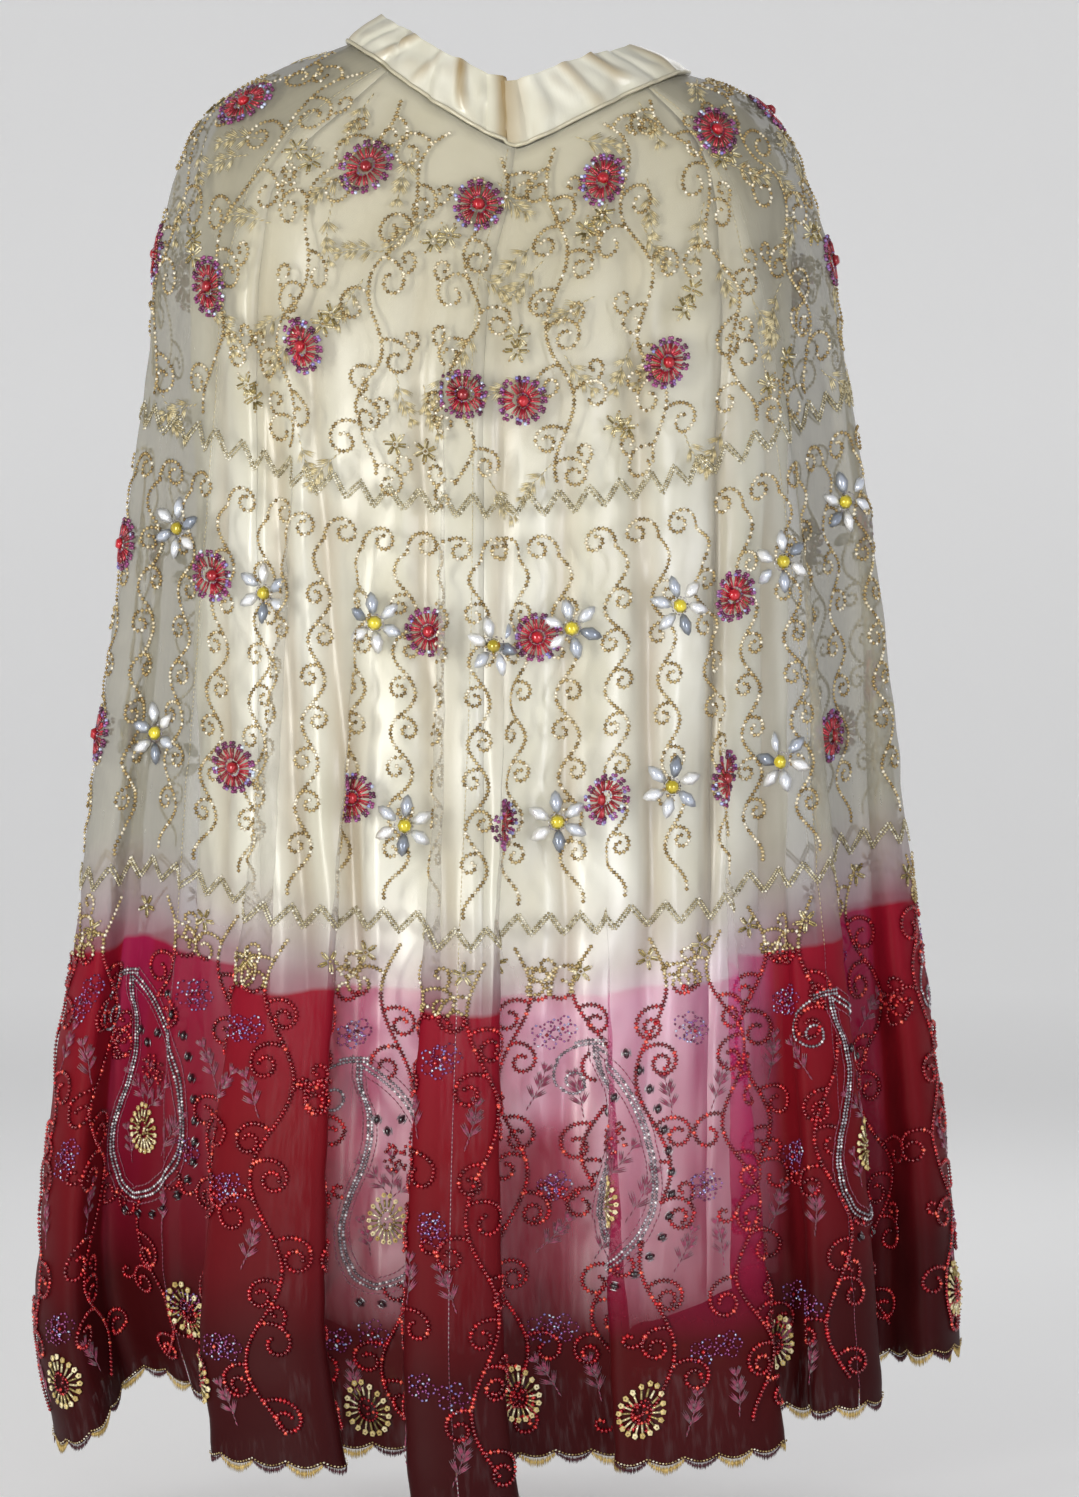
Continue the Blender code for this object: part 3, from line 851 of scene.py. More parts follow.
def waist_piping(material):
    """The raised cord where the waistband meets the skirt."""
    angles = np.linspace(-180.0, 180.0, 241)[:-1]
    here, _, _, outward = frames_of(band_skin, angles, np.full(240, 0.001))
    points = here - outward * 0.0012
    curve = bpy.data.curves.new("waist_piping", "CURVE")
    curve.dimensions = "3D"
    curve.bevel_depth = 0.0015
    curve.bevel_resolution = 2
    line = curve.splines.new("POLY")
    line.points.add(len(points) - 1)
    line.points.foreach_set("co", np.column_stack([points, np.ones(len(points))]).ravel())
    line.use_cyclic_u = True
    curve.materials.append(material)
    return add("waist_piping", curve)


# ---------------------------------------------------------------- small shapes

Stamp = namedtuple("Stamp", "vertices corners starts smooth")
ALONG_X = Matrix.Rotation(math.pi / 2, 3, "Y")


def stamp(make, smooth):
    """One small shape, about 1 long, 1 wide and 1 high, ready to be copied many times."""
    bm = bmesh.new()
    make(bm)
    bmesh.ops.recalc_face_normals(bm, faces=bm.faces)
    mesh = bpy.data.meshes.new("stamp")
    bm.to_mesh(mesh)
    bm.free()
    vertices = np.empty(len(mesh.vertices) * 3)
    mesh.vertices.foreach_get("co", vertices)
    corners = np.empty(len(mesh.loops), int)
    mesh.loops.foreach_get("vertex_index", corners)
    starts = np.empty(len(mesh.polygons), int)
    mesh.polygons.foreach_get("loop_start", starts)
    bpy.data.meshes.remove(mesh)
    return Stamp(vertices.reshape(-1, 3), corners, starts, smooth)


def bead_shape(bm):
    bmesh.ops.create_uvsphere(bm, u_segments=4, v_segments=2, radius=0.5)


def round_bead_shape(bm):
    bmesh.ops.create_uvsphere(bm, u_segments=5, v_segments=3, radius=0.5)


def tube_shape(bm):
    """A cut glass tube lying along x."""
    bmesh.ops.create_cone(bm, cap_ends=True, segments=5, radius1=0.5, radius2=0.5, depth=1.0)
    bmesh.ops.rotate(bm, verts=bm.verts, cent=(0, 0, 0), matrix=ALONG_X)


def stone_shape(bm):
    """A round cut stone: a girdle, a bevelled crown and a flat table."""
    bmesh.ops.create_cone(bm, cap_ends=True, segments=8, radius1=0.5, radius2=0.28, depth=0.6)
    bmesh.ops.translate(bm, verts=bm.verts, vec=(0, 0, 0.3))


def navette_shape(bm):
    """A long stone with two points and a ridge of facets, lying along x."""
    bmesh.ops.create_cone(bm, cap_ends=True, segments=8, radius1=0.5, radius2=0.2, depth=0.6)
    for vert in bm.verts:
        pinch = 1.0 - 0.45 * abs(vert.co.x * 2) ** 2
        vert.co.y *= pinch
        vert.co.z = 0.35 + vert.co.z
    bmesh.ops.remove_doubles(bm, verts=bm.verts, dist=1e-5)


def stitch_shape(bm):
    """A stitch, or a thread of the fringe: long, thin at both ends, lying along x."""
    bead_shape(bm)
    bmesh.ops.rotate(bm, verts=bm.verts, cent=(0, 0, 0), matrix=ALONG_X)


SHAPES = {
    "gold_beads": (bead_shape, True),
    "silver_beads": (bead_shape, True),
    "zigzag": (bead_shape, True),
    "red_beads": (bead_shape, False),
    "purple_beads": (round_bead_shape, True),
    "red_bugles": (tube_shape, True),
    "gold_bugles": (tube_shape, True),
    "red_stones": (stone_shape, False),
    "petals": (navette_shape, False),
    "yellow_stones": (stone_shape, False),
    "navettes": (navette_shape, False),
    "cream_sequins": (round_bead_shape, True),
    "pale_thread": (stitch_shape, True),
    "red_thread": (stitch_shape, True),
    "fringe": (stitch_shape, True),
}


def joined(name, shape, places, axes, tones, material):
    """One mesh of many copies of a stamp. axes holds each copy's three scaled axes."""
    count = len(places)
    points = np.einsum("vk,nkj->nvj", shape.vertices, axes) + places[:, None]
    shift = np.arange(count)[:, None]
    corners = shape.corners[None] + shift * len(shape.vertices)
    starts = shape.starts[None] + shift * len(shape.corners)
    mesh = bpy.data.meshes.new(name)
    mesh.vertices.add(count * len(shape.vertices))
    mesh.vertices.foreach_set("co", points.ravel())
    mesh.loops.add(corners.size)
    mesh.loops.foreach_set("vertex_index", corners.ravel())
    mesh.polygons.add(starts.size)
    mesh.polygons.foreach_set("loop_start", starts.ravel())
    mesh.update(calc_edges=True)
    mesh.validate()
    if shape.smooth:
        mesh.shade_smooth()
    tone = mesh.attributes.new("tone", "FLOAT", "POINT")
    tone.data.foreach_set("value", np.repeat(tones, len(shape.vertices)))
    mesh.materials.append(material)
    return add(name, mesh)


# ---------------------------------------------------------------- sewing on

rng = np.random.default_rng(41)
DYE_LINE = 0.640
BEAD_PITCH = 0.0029
BEAD_WIDTH = 0.0037
RED_BEAD_WIDTH = 0.0044
SILVER_BEADS = (0.0026, 0.0029)  # pitch and width
sewn = {}  # piece name -> rows of (angle, v, right, down, turn, long, wide, high, raised, tone)


def sew(piece, angle, v, right, down, turn, size, raised=0.0006, tone=None):
    """Adds copies to a piece. right and down are metres from the place (angle, v), and
    size is (long, wide, high) in metres."""
    right = np.atleast_1d(np.asarray(right, float))
    count = len(right)
    if tone is None:
        tone = rng.uniform(0.15, 1.0, count)
    parts = (angle, v, right, down, turn, *size, raised, tone)
    rows = np.column_stack([np.broadcast_to(part, count) for part in parts])
    sewn.setdefault(piece, []).append(rows)


def turns(count):
    """So many angles in radians, evenly round a circle."""
    return np.arange(count) * 2 * math.pi / count


def ring_of(radius, spin):
    """Places right and down of a centre, at one radius and many turns."""
    return radius * np.cos(spin), radius * np.sin(spin)


def evenly(curve, pitch):
    """Points every `pitch` metres along a flat curve, and the way it runs at each."""
    steps = np.hypot(*np.diff(curve, axis=0).T)
    along = np.concatenate([[0.0], np.cumsum(steps)])
    count = max(2, round(along[-1] / pitch) + 1)
    at = np.linspace(0.0, along[-1], count)
    right = np.interp(at, along, curve[:, 0])
    down = np.interp(at, along, curve[:, 1])
    return right, down, np.arctan2(np.gradient(down), np.gradient(right))


def string(piece, angle, v, curve, pitch=BEAD_PITCH, width=BEAD_WIDTH, keep=None):
    """Beads threaded along a flat curve, where keep says so."""
    right, down, turn = evenly(curve, pitch)
    if keep is not None:
        kept = keep(right, down)
        right, down, turn = right[kept], down[kept], turn[kept]
    if len(right):
        sew(piece, angle, v, right, down, turn, (pitch * 1.2, width, width * 0.7))


def curl(start, heading, length, bend_from, bend_to):
    """A scroll: a line whose bend grows along it. heading is 0 to the right and a
    quarter turn down, and the bends are in radians per metre."""
    s = np.linspace(0.0, length, 48)
    bend = bend_from + (bend_to - bend_from) * (s / length) ** 1.6
    step = s[1]
    turn = heading + np.cumsum(bend) * step
    right = start[0] + np.cumsum(np.cos(turn)) * step
    down = start[1] + np.cumsum(np.sin(turn)) * step
    return np.column_stack([right, down])


def side_scroll(start, side, length, tight, rise):
    """A curl that leaves a stem to one side (1 right, -1 left) and winds down and in."""
    heading = -rise if side > 0 else math.pi + rise
    return curl(start, heading, length, side * tight * 0.28, side * tight)


def two_tone(angle, v, curve, keep):
    """A string that is gold above the dye line and red below it."""

    def above(right, down):
        return (v + down < DYE_LINE) & keep(right, down)

    def below(right, down):
        return (v + down >= DYE_LINE) & keep(right, down)

    string("gold_beads", angle, v, curve, keep=above)
    string("red_beads", angle, v, curve, width=RED_BEAD_WIDTH, keep=below)


# ---------------------------------------------------------------- motifs


def red_flower(angle, v):
    """A domed flower: a red stone, looped glass spokes and a rim of aurora beads."""
    sew("red_stones", angle, v, 0.0, 0.0, rng.uniform(0, 6), (0.0105, 0.0105, 0.0055), 0.0020)
    spokes = 14
    spin = turns(spokes) + rng.uniform(0, 1)
    for splay in (-0.085, 0.085):
        x, y = ring_of(0.0098, spin + splay)
        sew("red_bugles", angle, v, x, y, spin + splay * 0.7, (0.0076, 0.0017, 0.0018), 0.0022)
    x, y = ring_of(0.0058, spin)
    sew("rose_beads", angle, v, x, y, spin, (0.0018, 0.0018, 0.0018), 0.0024)
    for radius, turn_by, bead in (
        (0.0147, -0.22, 0.0036),
        (0.0147, 0.22, 0.0036),
        (0.0172, -0.14, 0.0034),
        (0.0174, 0.16, 0.0036),
    ):
        rim = spin + turn_by * 2 * math.pi / spokes
        x, y = ring_of(radius, rim)
        tones = rng.uniform(0, 1, spokes) ** 1.2
        sew("purple_beads", angle, v, x, y, rim, (bead, bead, bead * 0.8), 0.0012, tones)


def star(angle, v):
    """Six foiled petals round a yellow stone in a ring of silver beads."""
    spin = np.arange(6) * math.pi / 3 + rng.uniform(-0.25, 0.25) + math.pi / 2
    # Each petal's tone is a painted reflection, from dark to bright.
    tones = rng.permutation([0.05, 0.45, 0.6, 0.8, 0.95, 0.3])
    x, y = ring_of(0.0146, spin)
    sew("petals", angle, v, x, y, spin, (0.0172, 0.0098, 0.0044), 0.0008, tones)
    turn = rng.uniform(0, 6)
    sew("yellow_stones", angle, v, 0.0, 0.0, turn, (0.0112, 0.0112, 0.0055), 0.001)
    ring = turns(14)
    x, y = ring_of(0.0064, ring)
    sew("silver_beads", angle, v, x, y, ring + math.pi / 2, (0.0026, 0.0013, 0.0014), 0.0010)


def gold_flower(angle, v, right=0.0, down=0.0, size=0.020, petals=6):
    """A small flower of paired gold tubes with a bead at each tip."""
    k = size / 0.020
    spin = turns(petals) + rng.uniform(0, 1)
    for splay in (-0.17, 0.17):
        x, y = ring_of(0.0052 * k, spin + splay)
        turn = spin + splay * 0.4
        tube = (0.0056 * k, 0.0015, 0.0015)
        sew("gold_bugles", angle, v, right + x, down + y, turn, tube, 0.001)
    x, y = ring_of(0.0090 * k, spin)
    sew("gold_beads", angle, v, right + x, down + y, spin, (0.0022, 0.0024, 0.0018), 0.001)
    sew("gold_beads", angle, v, right, down, 0.0, (0.0028, 0.0028, 0.0026), 0.0014)


def sprig(piece, angle, v, right, down, heading, length=0.036, leaves=4):
    """A sprig in thread: a bent stem with pairs of leaves, three stitches to a leaf."""
    stem = np.linspace(0.0, 1.0, 9)
    bend = 0.25 * np.sin(stem * 2.4)
    x = right + length * stem * np.cos(heading) - length * bend * 0.3 * np.sin(heading)
    y = down + length * stem * np.sin(heading) + length * bend * 0.3 * np.cos(heading)
    sew(piece, angle, v, x, y, heading, (length / 7, 0.0012, 0.0009))
    for k in range(leaves):
        t = 0.25 + 0.62 * k / max(1, leaves - 1)
        i = min(8, round(t * 8))
        leaf = length * (0.36 - 0.14 * t)
        for side in (-1, 1):
            lean = heading + side * (0.75 - 0.25 * t)
            for open_by in (-0.2, 0.0, 0.2):
                way = lean + open_by
                across = x[i] + leaf / 2 * math.cos(way)
                below = y[i] + leaf / 2 * math.sin(way)
                sew(piece, angle, v, across, below, lean + open_by * 0.5, (leaf, 0.0013, 0.0009))


def zigzag(v, tooth, height):
    """Two close rows of small beads in uneven teeth, all the way round."""
    whole = cloth_round(v)
    teeth = round(whole / tooth)
    pitch = whole / teeth
    low = np.arange(teeth + 1) * pitch
    uneven = rng.uniform(-0.10, 0.10, teeth + 1) * pitch
    peak = low[:-1] + 0.56 * pitch + uneven[:-1]
    corners = np.empty((2 * teeth + 1, 2))
    corners[0::2] = np.column_stack([low, np.full(teeth + 1, height / 2)])
    corners[1::2] = np.column_stack([peak, np.full(teeth, -height / 2)])
    right, down, turn = evenly(corners, 0.0019)
    nowhere = np.zeros(len(right))
    for offset in (-0.0012, 0.0012):
        x = right - offset * np.sin(turn)
        angle = slide(nowhere - 180.0, nowhere + v, x)
        y = v + down + offset * np.cos(turn)
        sew("zigzag_beads", angle, y, nowhere, 0.0, turn, (0.0025, 0.0027, 0.0018))


def scroll_column(angle, top, bottom, side):
    """A wavy stem between the two zigzags, with a scroll in the hollow of every bend."""
    wave = 0.060
    down = np.linspace(0.0, bottom - top, 90)
    amplitude = 0.0082 * rng.uniform(0.9, 1.1)
    right = -side * amplitude * np.sin(2 * math.pi * down / wave)
    string("scroll_beads", angle, top, np.column_stack([right, down]))
    head = curl((right[0], 0.0), -math.pi / 2 - side * 0.15, 0.062, side * 62.0, side * 225.0)
    string("scroll_beads", angle, top, head)
    bend = 0
    while (bend + 0.75) * wave / 2 < bottom - top:
        inward = side if bend % 2 == 0 else -side
        at = (bend + rng.uniform(0.08, 0.16)) * wave / 2
        x = -side * amplitude * math.sin(2 * math.pi * at / wave)
        length = rng.uniform(0.036, 0.042)
        if bend:
            string("scroll_beads", angle, top, side_scroll((x, at), inward, length, 300.0, 0.35))
        bend += 1


def yoke_vine(angle, top, bottom, side):
    """A wandering stem of the yoke: scrolls both ways, small flowers and thread sprigs."""
    down = np.linspace(0.0, bottom - top, 90)
    wave = rng.uniform(0.085, 0.11)
    amplitude = 0.009
    right = side * amplitude * np.sin(2 * math.pi * down / wave)
    string("yoke_beads", angle, top, np.column_stack([right, down]))
    at = rng.uniform(0.006, 0.014)
    turn = side
    number = 0
    while at < bottom - top:
        x = side * amplitude * math.sin(2 * math.pi * at / wave)
        length = rng.uniform(0.050, 0.072)
        branch = side_scroll((x, at), turn, length, rng.uniform(180, 240), rng.uniform(0.2, 0.9))
        string("yoke_beads", angle, top, branch)
        middle = branch[16]
        if number % 2:
            way = -0.4 if turn > 0 else math.pi + 0.4
            string("yoke_beads", angle, top, curl(middle, way, 0.030, -turn * 80.0, -turn * 330.0))
        if number % 3 == 1:
            gold_flower(angle, top, x + turn * 0.030, at + 0.030)
        if number % 3 == 2:
            heading = 1.57 - turn * rng.uniform(0.4, 1.2)
            sprig("pale_thread", angle, top, x + turn * 0.014, at + 0.024, heading)
        turn = -turn
        number += 1
        at += rng.uniform(0.021, 0.029)


Span = namedtuple("Span", "v middle half")
PAISLEY = [
    Span(0.00, -0.0250, 0.0012),
    Span(0.10, -0.0120, 0.0130),
    Span(0.20, -0.0020, 0.0165),
    Span(0.30, 0.0030, 0.0200),
    Span(0.45, 0.0050, 0.0265),
    Span(0.60, 0.0020, 0.0335),
    Span(0.75, -0.0020, 0.0350),
    Span(0.90, -0.0075, 0.0240),
    Span(0.97, -0.0110, 0.0125),
    Span(1.00, -0.0125, 0.0010),
]
PAISLEY_TALL = 0.172


def paisley_outline(grow):
    """A tall paisley about 70 by 172 mm whose tip bends to the left, grown all round."""
    s = 0.5 - 0.5 * np.cos(np.linspace(0.0, np.pi, 70))
    middle = column(PAISLEY, "middle", s)
    half = np.maximum(column(PAISLEY, "half", s) + grow, 0.0)
    down = -PAISLEY_TALL / 2 - grow + (PAISLEY_TALL + 2 * grow) * s
    rightmost = np.column_stack([middle + half, down])
    leftmost = np.column_stack([middle - half, down])
    return np.concatenate([rightmost, leftmost[::-1]])


def in_paisley(right, down):
    """Whether a place is inside a paisley's outline or just outside it."""
    s = np.clip((np.atleast_1d(down) + PAISLEY_TALL / 2) / PAISLEY_TALL, 0.0, 1.0)
    apart = np.abs(right - column(PAISLEY, "middle", s))
    return (apart < column(PAISLEY, "half", s) + 0.005) & (np.abs(down) < 0.090)


def rosette(angle, v, right=0.0, down=0.0, turn=0.0, size=0.044, core="red_beads"):
    """A teardrop ring of pearl sequins, gold tubes inside it and a core of beads."""
    k = size / 0.044
    spin = np.linspace(0, 2 * math.pi, 19)[:-1]
    point = 1 + 0.30 * np.clip(-np.sin(spin), 0, 1) ** 4
    cos, sin = math.cos(turn), math.sin(turn)
    for radius, piece, long, wide, high, raised in (
        (0.0185, "cream_sequins", 0.0056 * k, 0.0050 * k, 0.0022, 0.0012),
        (0.0187, "gold_beads", 0.0016, 0.0016, 0.0014, 0.0026),
        (0.0128, "gold_bugles", 0.0062 * k, 0.0017, 0.0017, 0.0013),
        (0.0080, core, 0.0030, 0.0026, 0.0024, 0.0016),
    ):
        x = radius * 0.80 * np.cos(spin) * k
        y = radius * np.sin(spin) * point * k
        across, below = right + x * cos - y * sin, down + x * sin + y * cos
        sew(piece, angle, v, across, below, np.arctan2(y, x) + turn, (long, wide, high), raised)
    count = 7
    x = right + rng.uniform(-0.0045, 0.0045, count) * k
    y = down + rng.uniform(-0.0055, 0.0055, count) * k
    sew(core, angle, v, x, y, rng.uniform(0, 6, count), (0.0034, 0.0030, 0.0028), 0.0020)


def paisley(angle, v):
    """A tall paisley: silver rows, wine thread, dark stones outside and a bouquet inside."""
    for grow in (-0.0014, 0.0014):
        string("silver_beads", angle, v, paisley_outline(grow), *SILVER_BEADS)
    for grow in (0.0052, -0.0050):
        string("red_thread", angle, v, paisley_outline(grow), 0.0040, 0.0011)
    for shift in (0.0, -0.0028):
        tip = curl((-0.020, -0.0875 + shift), math.pi + 0.10, 0.020, -14.0, -30.0)
        string("silver_beads", angle, v, tip, *SILVER_BEADS)
    tail = curl((-0.040, -0.0860), math.pi - 0.30, 0.088, -30.0, -185.0)
    string("silver_beads", angle, v, tail, *SILVER_BEADS)
    right, down, way = evenly(paisley_outline(0.0125), 0.0165)
    kept = (right > -0.030) & (down > -0.080) & (np.arange(len(right)) < len(right) * 0.62)
    right, down, way = right[kept], down[kept], way[kept]
    right = np.concatenate([right, [-0.012, -0.004, 0.006]])
    down = np.concatenate([down, [-0.044, -0.036, -0.046]])
    way = np.concatenate([way, [1.2, 0.8, 1.5]]) + 0.6
    sew("navettes", angle, v, right, down, way, (0.0080, 0.0054, 0.0030), 0.0008)
    for side in (-1, 1):
        x, y = right - side * 0.0030 * np.sin(way), down + side * 0.0030 * np.cos(way)
        sew("silver_beads", angle, v, x, y, way, (0.0066, 0.0011, 0.0010), 0.0006)
    count = 34
    r = 0.0125 * np.sqrt(rng.uniform(0, 1, count))
    spin = rng.uniform(0, 2 * math.pi, count)
    x, y = ring_of(r, spin)
    sew("red_beads", angle, v, 0.004 + x, -0.016 + y, spin, (0.0036, 0.0032, 0.0026), 0.0014)
    for way in (-2.3, -1.6, -0.9):
        sprig("red_thread", angle, v, -0.002, 0.016, way, 0.036, 3)
    sprig("red_thread", angle, v, 0.016, 0.046, -1.15, 0.042, 4)
    sprig("red_thread", angle, v, -0.016, 0.060, -1.9, 0.028, 3)
    rosette(angle, v, -0.004, 0.034, 0.0, 0.038, "gold_beads")


def wine_flower(angle, v, right, down, size=0.022):
    """A small flower whose five petals are outlined in aurora beads."""
    mid = 0.30 * size
    ring = turns(7)
    petal_x, petal_y = ring_of(0.16 * size, ring)
    for k in range(5):
        way = k * 2 * math.pi / 5 + rng.uniform(-0.1, 0.1)
        x = right + mid * math.cos(way) + petal_x
        y = down + mid * math.sin(way) + petal_y
        sew("wine_beads", angle, v, x, y, ring + math.pi / 2, (0.0026, 0.0020, 0.0017))
    sew("red_beads", angle, v, right, down, 0.0, (0.0036, 0.0036, 0.0030), 0.0012)


def dyed_vine(angle, top, bottom, side, paisleys):
    """A stem that is gold above the dye line, then red, with long scrolls both ways."""
    down = np.linspace(0.0, bottom - top, 110)
    wave = rng.uniform(0.11, 0.15)
    amplitude = rng.uniform(0.010, 0.016)
    right = side * amplitude * np.sin(2 * math.pi * down / wave)

    def clear(right, down):
        kept = np.ones(len(right), bool)
        for other, level in paisleys:
            apart = paisley_distance(angle, other, top + down) + right
            kept &= ~in_paisley(apart, top + down - level)
        return kept

    two_tone(angle, top, np.column_stack([right, down]), clear)
    at = rng.uniform(0.010, 0.025)
    turn = side
    number = 0
    while at < bottom - top - 0.006:
        x = side * amplitude * math.sin(2 * math.pi * at / wave)
        length = rng.uniform(0.056, 0.085)
        branch = side_scroll((x, at), turn, length, rng.uniform(165, 215), rng.uniform(0.2, 0.9))
        two_tone(angle, top, branch, clear)
        if number % 3 == 0:
            twig = curl(branch[12], 0.5 - turn * 1.4, 0.030, -turn * 60.0, -turn * 340.0)
            two_tone(angle, top, twig, clear)
        x, y = x - turn * 0.024, at + 0.02
        free = top + at > DYE_LINE and clear(np.array([x]), np.array([y]))[0]
        if number % 4 == 1 and free:
            wine_flower(angle, top, x, y, rng.uniform(0.020, 0.026))
        if number % 4 == 3 and free:
            sprig("red_thread", angle, top, x, y, rng.uniform(-2.2, -0.9), 0.034)
        turn = -turn
        number += 1
        at += rng.uniform(0.025, 0.033)


def paisley_distance(angle, other, v):
    """How far along the cloth, at each v, an angle is from a paisley's angle."""
    level = level_of(np.atleast_1d(v))
    apart = np.empty(len(level))
    for k in np.unique(level):
        ends = np.interp([other, angle], ROUND_ANGLES, CLOTH[k])
        apart[level == k] = wrapped(ends[1] - ends[0], cloth_round(k / STEPS_DOWN))
    return apart


# ---------------------------------------------------------------- where motifs go

Place = namedtuple("Place", "angle v")
RED_FLOWERS = [
    Place(-70, 0.072), Place(-32, 0.060), Place(-7, 0.050), Place(22, 0.050), Place(54, 0.058),
    Place(-56, 0.177), Place(-32, 0.182), Place(-4, 0.190), Place(5, 0.195), Place(30, 0.190),
    Place(113, 0.173),
    Place(-76, 0.361), Place(-50, 0.367), Place(-11, 0.370), Place(6, 0.372), Place(40, 0.375),
    Place(-76, 0.490), Place(-42, 0.497), Place(-18, 0.497), Place(2, 0.508), Place(16, 0.497),
    Place(34, 0.500), Place(60, 0.503), Place(88, 0.478),
]
STARS = [
    Place(-61, 0.343), Place(-39, 0.367), Place(-17, 0.367), Place(-1, 0.375), Place(10, 0.367),
    Place(27, 0.365), Place(48, 0.362), Place(70, 0.345),
    Place(-62, 0.490), Place(-13, 0.515), Place(8, 0.510), Place(25, 0.495), Place(46, 0.503),
]
# Round the sides and the back the rows go on at the same spacing.
FLOWER_ROWS = [
    (0.062, [88, 122, 152, 178, -150, -115]),
    (0.180, [86, 134, 156, 178, -160, -138, -112, -84]),
    (0.366, [88, 118, 146, 172, -164, -136, -108]),
    (0.500, [112, 134, 156, 176, -162, -140, -118, -98]),
]
STAR_ROWS = [
    (0.362, [103, 132, 159, -178, -150, -122, -94]),
    (0.502, [100, 123, 145, 166, -173, -151, -129, -108, -88]),
]
PAISLEYS = [Place(-57, 0.755), Place(-13, 0.782), Place(18, 0.765), Place(52, 0.765)]
MORE_PAISLEYS = [84, 112, 138, 162, -172, -146, -118, -90]
HEM_ROSETTES = [
    Place(-47, 0.922), Place(-31, 0.940), Place(-72, 0.948), Place(-16, 0.968), Place(5, 0.950),
    Place(22, 0.958), Place(76, 0.950),
]
MORE_ROSETTES = [42, 60, 93, 108, 124, 141, 157, 171, -171, -156, -140, -124, -108, -91]


def embroider():
    """Sews every motif on, from the waist to the hem."""
    for motif, places, rows in (
        (red_flower, RED_FLOWERS, FLOWER_ROWS),
        (star, STARS, STAR_ROWS),
    ):
        for place in places:
            motif(place.angle, place.v)
        for v, angles in rows:
            for angle in angles:
                motif(angle, v + rng.uniform(-0.008, 0.008))
    zigzag(0.272, 0.022, 0.016)
    zigzag(0.586, 0.023, 0.015)
    for number, angle in enumerate(round_the_cloth(0.14, 19, 0.3)):
        yoke_vine(angle, 0.012, 0.256, 1 if number % 2 else -1)
    # Leaves of pale thread fill the ground between the vines of the yoke.
    for row, v in enumerate((0.022, 0.078, 0.130, 0.185)):
        for angle in round_the_cloth(0.14, 14, 0.5 * (row % 2)):
            heading = rng.uniform(0.3, math.pi - 0.3)
            place = v + rng.uniform(-0.012, 0.012)
            sprig("pale_thread", angle + rng.uniform(-3, 3), place, 0.0, 0.0, heading, 0.038)
    for angle in round_the_cloth(0.42, 44, 0.4):
        scroll_column(angle, 0.312, 0.570, 1 if angle < 0 else -1)
    for angle in round_the_cloth(0.62, 40, 0.2):
        angle, v = angle + rng.uniform(-1, 1), 0.615 + rng.uniform(-0.008, 0.008)
        gold_flower(angle, v, size=0.019, petals=5)
    paisleys = [*PAISLEYS, *(Place(angle, 0.772) for angle in MORE_PAISLEYS)]
    for place in paisleys:
        paisley(place.angle, place.v)
    for number, angle in enumerate(round_the_cloth(0.80, 42, 0.35)):
        dyed_vine(angle, 0.604, 0.972, 1 if number % 2 else -1, paisleys)
    for place in HEM_ROSETTES:
        rosette(place.angle, place.v, turn=rng.uniform(-0.5, 0.5))
    for angle in MORE_ROSETTES:
        rosette(angle, 0.948 + rng.uniform(-0.01, 0.01), turn=rng.uniform(-0.5, 0.5))


def hem_beads():
    """The fine bead line just inside the scalloped edge."""
    along = np.arange(0.0, cloth_round(1.0), 0.0023)
    angle = along_the_hem(along)
    nowhere = np.zeros(len(along))
    bead = (0.0021, 0.0016, 0.0014)
    sew("hem_beads", angle, hem_edge(angle) - 0.0016, nowhere, 0.0, 0.0, bead)


def seam_stitches():
    """Small stitches down the seams of the sheer cloth."""
    stitch = (0.0031, 0.0008, 0.0007)
    for seam in SHEER_SEAMS[:-1]:
        for thread, top, bottom in (
            ("seam_thread", 0.004, DYE_LINE),
            ("red_thread", DYE_LINE, 0.995),
        ):
            down = np.arange(top, bottom, 0.0034)
            sew(thread, seam, down, np.zeros(len(down)), 0.0, math.pi / 2, stitch, 0.0002)


def fringes():
    """Fans of thread under each scallop, gold and wine by turns: each thread's angle,
    its length, how far it splays and its tone."""
    along = np.arange(0.0, cloth_round(1.0), 0.0008)
    along += rng.uniform(-0.0002, 0.0002, len(along))
    scallop = np.floor(along / SCALLOP).astype(int)
    inside = along / SCALLOP - scallop
    angle = along_the_hem(along)
    gold = scallop % 2 == 0
    length = 0.0085 * (0.45 + 0.55 * np.sin(np.pi * inside))
    length = length * rng.uniform(0.86, 1.05, len(along))
    length = np.where(gold, length, 0.75 * length)
    bright, dark = rng.uniform(0.42, 1.0, len(along)), rng.uniform(0.0, 0.28, len(along))
    tone = np.where(gold, bright, dark)
    return angle, length, (inside - 0.5) * 0.5, tone


def place_copies(surface, rows):
    """World places and scaled axes for sewn rows, on a surface."""
    angle, v, right, down, turn, long, wide, high, raised, tone = rows.T
    v = v + down
    angle = np.where(right == 0.0, angle, slide(angle, np.clip(v, 0, 1), right))
    here, across, downward, outward = frames_of(surface, angle, v)
    along = across * np.cos(turn)[:, None] + downward * np.sin(turn)[:, None]
    side = np.cross(outward, along)
    places = here + outward * (raised + high * 0.25)[:, None]
    axes = np.stack([along * long[:, None], side * wide[:, None], outward * high[:, None]], axis=1)
    return places, axes, tone


# Purple beads too small to need the rounder shape.
SMALL = ("wine_beads", "rose_beads")
# Beadwork that is split from its kind to keep each piece light: name -> kind.
KIND_OF = {
    "scroll_beads": "gold_beads",
    "yoke_beads": "gold_beads",
    "zigzag_beads": "zigzag",
    "rose_beads": "purple_beads",
    "hem_beads": "gold_beads",
    "wine_beads": "purple_beads",
    "seam_thread": "pale_thread",
}


